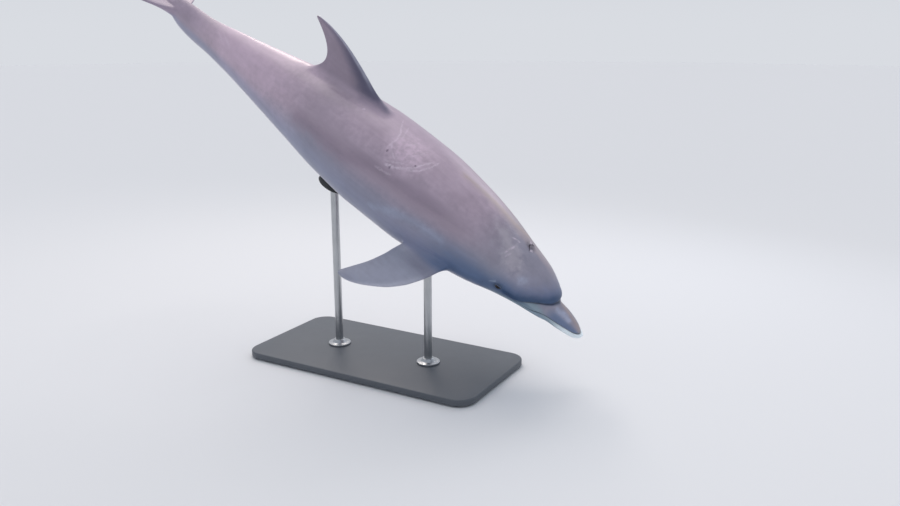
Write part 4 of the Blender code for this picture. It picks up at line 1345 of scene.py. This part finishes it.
def make_base(material):
    """The board, its upright corners and top edge rounded, on a plinth set back from its edge."""
    low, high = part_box("stand_base")
    size = Vector(high) - Vector(low)
    bm = bmesh.new()
    middle = (Vector(high) + Vector(low)) / 2 + Vector((0, 0, PLINTH_HEIGHT / 2))
    slab = Matrix.Translation(middle) @ Matrix.Diagonal((size.x, size.y, size.z - PLINTH_HEIGHT, 1))
    bmesh.ops.create_cube(bm, size=1.0, matrix=slab)
    upright = [edge for edge in bm.edges if abs(edge.verts[0].co.z - edge.verts[1].co.z) > PLINTH_HEIGHT]
    round_edges(bm, upright, BASE_CORNER, 20)
    for height, (radius, steps) in zip((high[2], PLINTH_HEIGHT + low[2]), BASE_ROUNDS):
        rim = [edge for edge in bm.edges if all(abs(vertex.co.z - height) < 1e-6 for vertex in edge.verts)]
        round_edges(bm, rim, radius, steps)
    bm.faces.ensure_lookup_table()
    under = min(bm.faces, key=lambda face: face.calc_center_median().z)
    bmesh.ops.inset_region(bm, faces=[under], thickness=PLINTH_SETBACK, use_even_offset=True)
    foot = bmesh.ops.extrude_face_region(bm, geom=[under])["geom"]
    for item in foot:
        if isinstance(item, bmesh.types.BMVert):
            item.co.z = low[2]
    bmesh.ops.delete(bm, geom=[under], context="FACES_ONLY")
    for flat_face in [face for face in bm.faces if len(face.verts) > 40]:
        bmesh.ops.triangulate(bm, faces=[flat_face])
    face_outwards(bm)
    board = new_piece(bm, "base_board", material, ["stand_base"])
    board.data.set_sharp_from_angle(angle=math.radians(35))


def make_rod(name, steel):
    """A turned rod; returns its radius and the matrix that stands a solid on its axis."""
    low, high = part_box("stand_rod_" + name)
    radius = (high[0] - low[0]) / 2
    upright = Matrix.Translation(((low[0] + high[0]) / 2, (low[1] + high[1]) / 2, 0))
    corners = [(0, low[2]), (radius, low[2]), (radius, high[2]), (0, high[2])]
    rod = turned(rounded_profile(corners, ROD_ROUND))
    bmesh.ops.transform(rod, matrix=upright, verts=rod.verts)
    new_piece(rod, "rod_tube_" + name, steel, ["stand_rod_" + name])
    return radius, upright


def make_foot(name, radius, upright, steel):
    """The screwed foot that a rod of this radius stands in."""
    low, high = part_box("stand_socket_" + name)
    bore = radius + FOOT_GAP
    outer = (high[0] - low[0]) / 2
    step = low[2] + FOOT_PLATE
    corners = [(bore, low[2]), (outer, low[2]), (outer, step), (outer - 0.016, step + 0.0015),
               (radius + 0.006, high[2]), (bore, high[2])]
    foot = turned([*rounded_profile(corners, FOOT_ROUND), corners[0]])
    for turn in SCREW_TURNS:
        screw = turned(rounded_profile(SCREW_PROFILE, 0.0003, 2), 32)
        away = Matrix.Rotation(math.radians(turn), 3, "Z") @ Vector((outer - SCREW_INSET, 0, step))
        bmesh.ops.translate(screw, vec=away, verts=screw.verts)
        merged = bpy.data.meshes.new("screw")
        screw.to_mesh(merged)
        screw.free()
        foot.from_mesh(merged)
        bpy.data.meshes.remove(merged)
    bmesh.ops.transform(foot, matrix=upright, verts=foot.verts)
    piece = new_piece(foot, "rod_foot_" + name, steel, ["stand_socket_" + name])
    piece.data.set_sharp_from_angle(angle=math.radians(40))


def make_saddle(name, upright, skin_tree, rubber):
    """The rubber saddle on a rod, its top moulded to the belly that lies in it."""
    point, normal, _, _ = skin_tree.ray_cast(upright @ Vector((0, 0, 0.1)), Vector((0, 0, 1)))
    inward = normal if normal.z > 0 else -normal
    placed = Matrix.Translation(point) @ inward.to_track_quat("Z", "Y").to_matrix().to_4x4()
    edge = rounded_profile([(0, 0), (SADDLE_RADIUS, 0), (SADDLE_RADIUS, 1), (0, 1)], SADDLE_ROUND, 5)
    crown = [(SADDLE_RADIUS * (1 - k / 10) - SADDLE_ROUND, 1.0) for k in range(1, 9)]
    pad = turned([(0.0, 0.0), (0.02, 0.0), (0.04, 0.0), *edge[1:-1], *crown, (0.0, 1.0)], 96)
    for vertex in pad.verts:
        flat = placed @ Vector((vertex.co.x, vertex.co.y, -SADDLE_DEPTH))
        reach = skin_tree.ray_cast(flat, inward)[3]
        tallest = SADDLE_DEPTH + SADDLE_RISE
        top = min(tallest if reach is None else reach, tallest) - SADDLE_GAP
        vertex.co = flat + inward * (top * vertex.co.z)
    face_outwards(pad)
    new_piece(pad, "saddle_pad_" + name, rubber, ["stand_saddle_" + name])


# ---------------------------------------------------------------- camera, light and floor

CAMERA_PLACE = (1.828, -2.705, 1.325)
CAMERA_AZIMUTH = math.radians(29.37)
CAMERA_ELEVATION = math.radians(15.0)
CAMERA_LENS = 34.0
SENSOR = 36.0
SKYLIGHT_FROM = (-0.35, 0.25, 1.0)
SKYLIGHT_POWER = 1.55
SKYLIGHT_SPREAD = math.radians(50)
SOFTBOXES = (              # name, place, target, size, power, colour
    ("tail softbox", (-1.5, 1.7, 2.7), (-0.8, 0.1, 1.3), 1.0, 16.0, "#fff0e6"),
    ("rear strip", (0.9, 2.4, 2.0), (0.2, 0.0, 0.9), 1.2, 9.0, "#f4f6ff"),
)
FLOOR_RADIUS = 30.0
FLOOR_DROP = 0.0004        # keeps the floor clear of the underside of the base


def set_camera():
    data = bpy.data.cameras.new("camera")
    data.lens = CAMERA_LENS
    data.sensor_width = SENSOR
    data.clip_end = 200.0
    camera = add_object("camera", data)
    camera.location = CAMERA_PLACE
    camera.rotation_euler = (math.pi / 2 - CAMERA_ELEVATION, 0.0, CAMERA_AZIMUTH)
    bpy.context.scene.camera = camera


def area_light(name, place, target, size, power, colour):
    data = bpy.data.lights.new(name, "AREA")
    data.shape = "DISK"
    data.size = size
    data.energy = power
    data.color = linear(colour)[:3]
    light = add_object(name, data)
    light.location = place
    light.rotation_euler = (Vector(target) - Vector(place)).to_track_quat("-Z", "Y").to_euler()


def set_light():
    world = bpy.data.worlds.new("studio")
    world.use_nodes = True
    tree = world.node_tree
    tree.nodes.clear()
    # The air darkens upwards from the far floor's own tone, so that no horizon line shows.
    up = node(tree, "SeparateXYZ", {0: node(tree, "TexCoord").outputs["Generated"]})
    share = node(tree, "MapRange", {0: up.outputs[2], 1: 0.0, 2: 0.6})
    air = node(tree, "Mix", {0: share, 6: "#d9dce2", 7: "#bcc3ce"}, data_type="RGBA")
    background = node(tree, "Background", {0: air, 1: 1.0})
    node(tree, "OutputWorld", {0: background})
    bpy.context.scene.world = world
    data = bpy.data.lights.new("skylight", "SUN")
    data.energy = SKYLIGHT_POWER
    data.angle = SKYLIGHT_SPREAD
    data.color = linear("#fff6ee")[:3]
    skylight = add_object("skylight", data)
    skylight.rotation_euler = Vector(SKYLIGHT_FROM).to_track_quat("Z", "Y").to_euler()
    for softbox in SOFTBOXES:
        area_light(*softbox)


def make_floor():
    """A wide pale grey floor, rolled with matt paint and even all over, that belongs to the stage only."""
    bm = bmesh.new()
    bmesh.ops.create_circle(bm, cap_ends=True, segments=96, radius=FLOOR_RADIUS,
                            matrix=Matrix.Translation((0, 0, -FLOOR_DROP)))
    mesh = bpy.data.meshes.new("floor")
    bm.to_mesh(mesh)
    bm.free()
    floor = add_object("floor", mesh)
    material, tree = new_material("matt floor paint")
    shader = node(tree, "BsdfPrincipled",
                  {"Base Color": "#d9dbde", "Roughness": 0.9, "Specular IOR Level": 0.2})
    node(tree, "OutputMaterial", {"Surface": shader})
    mesh.materials.append(material)


skin = make_skin(skin_material())
glassy = eye_material()
make_eye("left", 1, glassy)
make_eye("right", -1, glassy)
skin_tree = BVHTree.FromObject(skin, bpy.context.evaluated_depsgraph_get())
make_base(paint_material())
steel = steel_material()
rubber = rubber_material()
for support in ("front", "rear"):
    rod_radius, rod_upright = make_rod(support, steel)
    make_foot(support, rod_radius, rod_upright, steel)
    make_saddle(support, rod_upright, skin_tree, rubber)
set_camera()
set_light()
make_floor()
bpy.context.scene.view_settings.view_transform = "Standard"
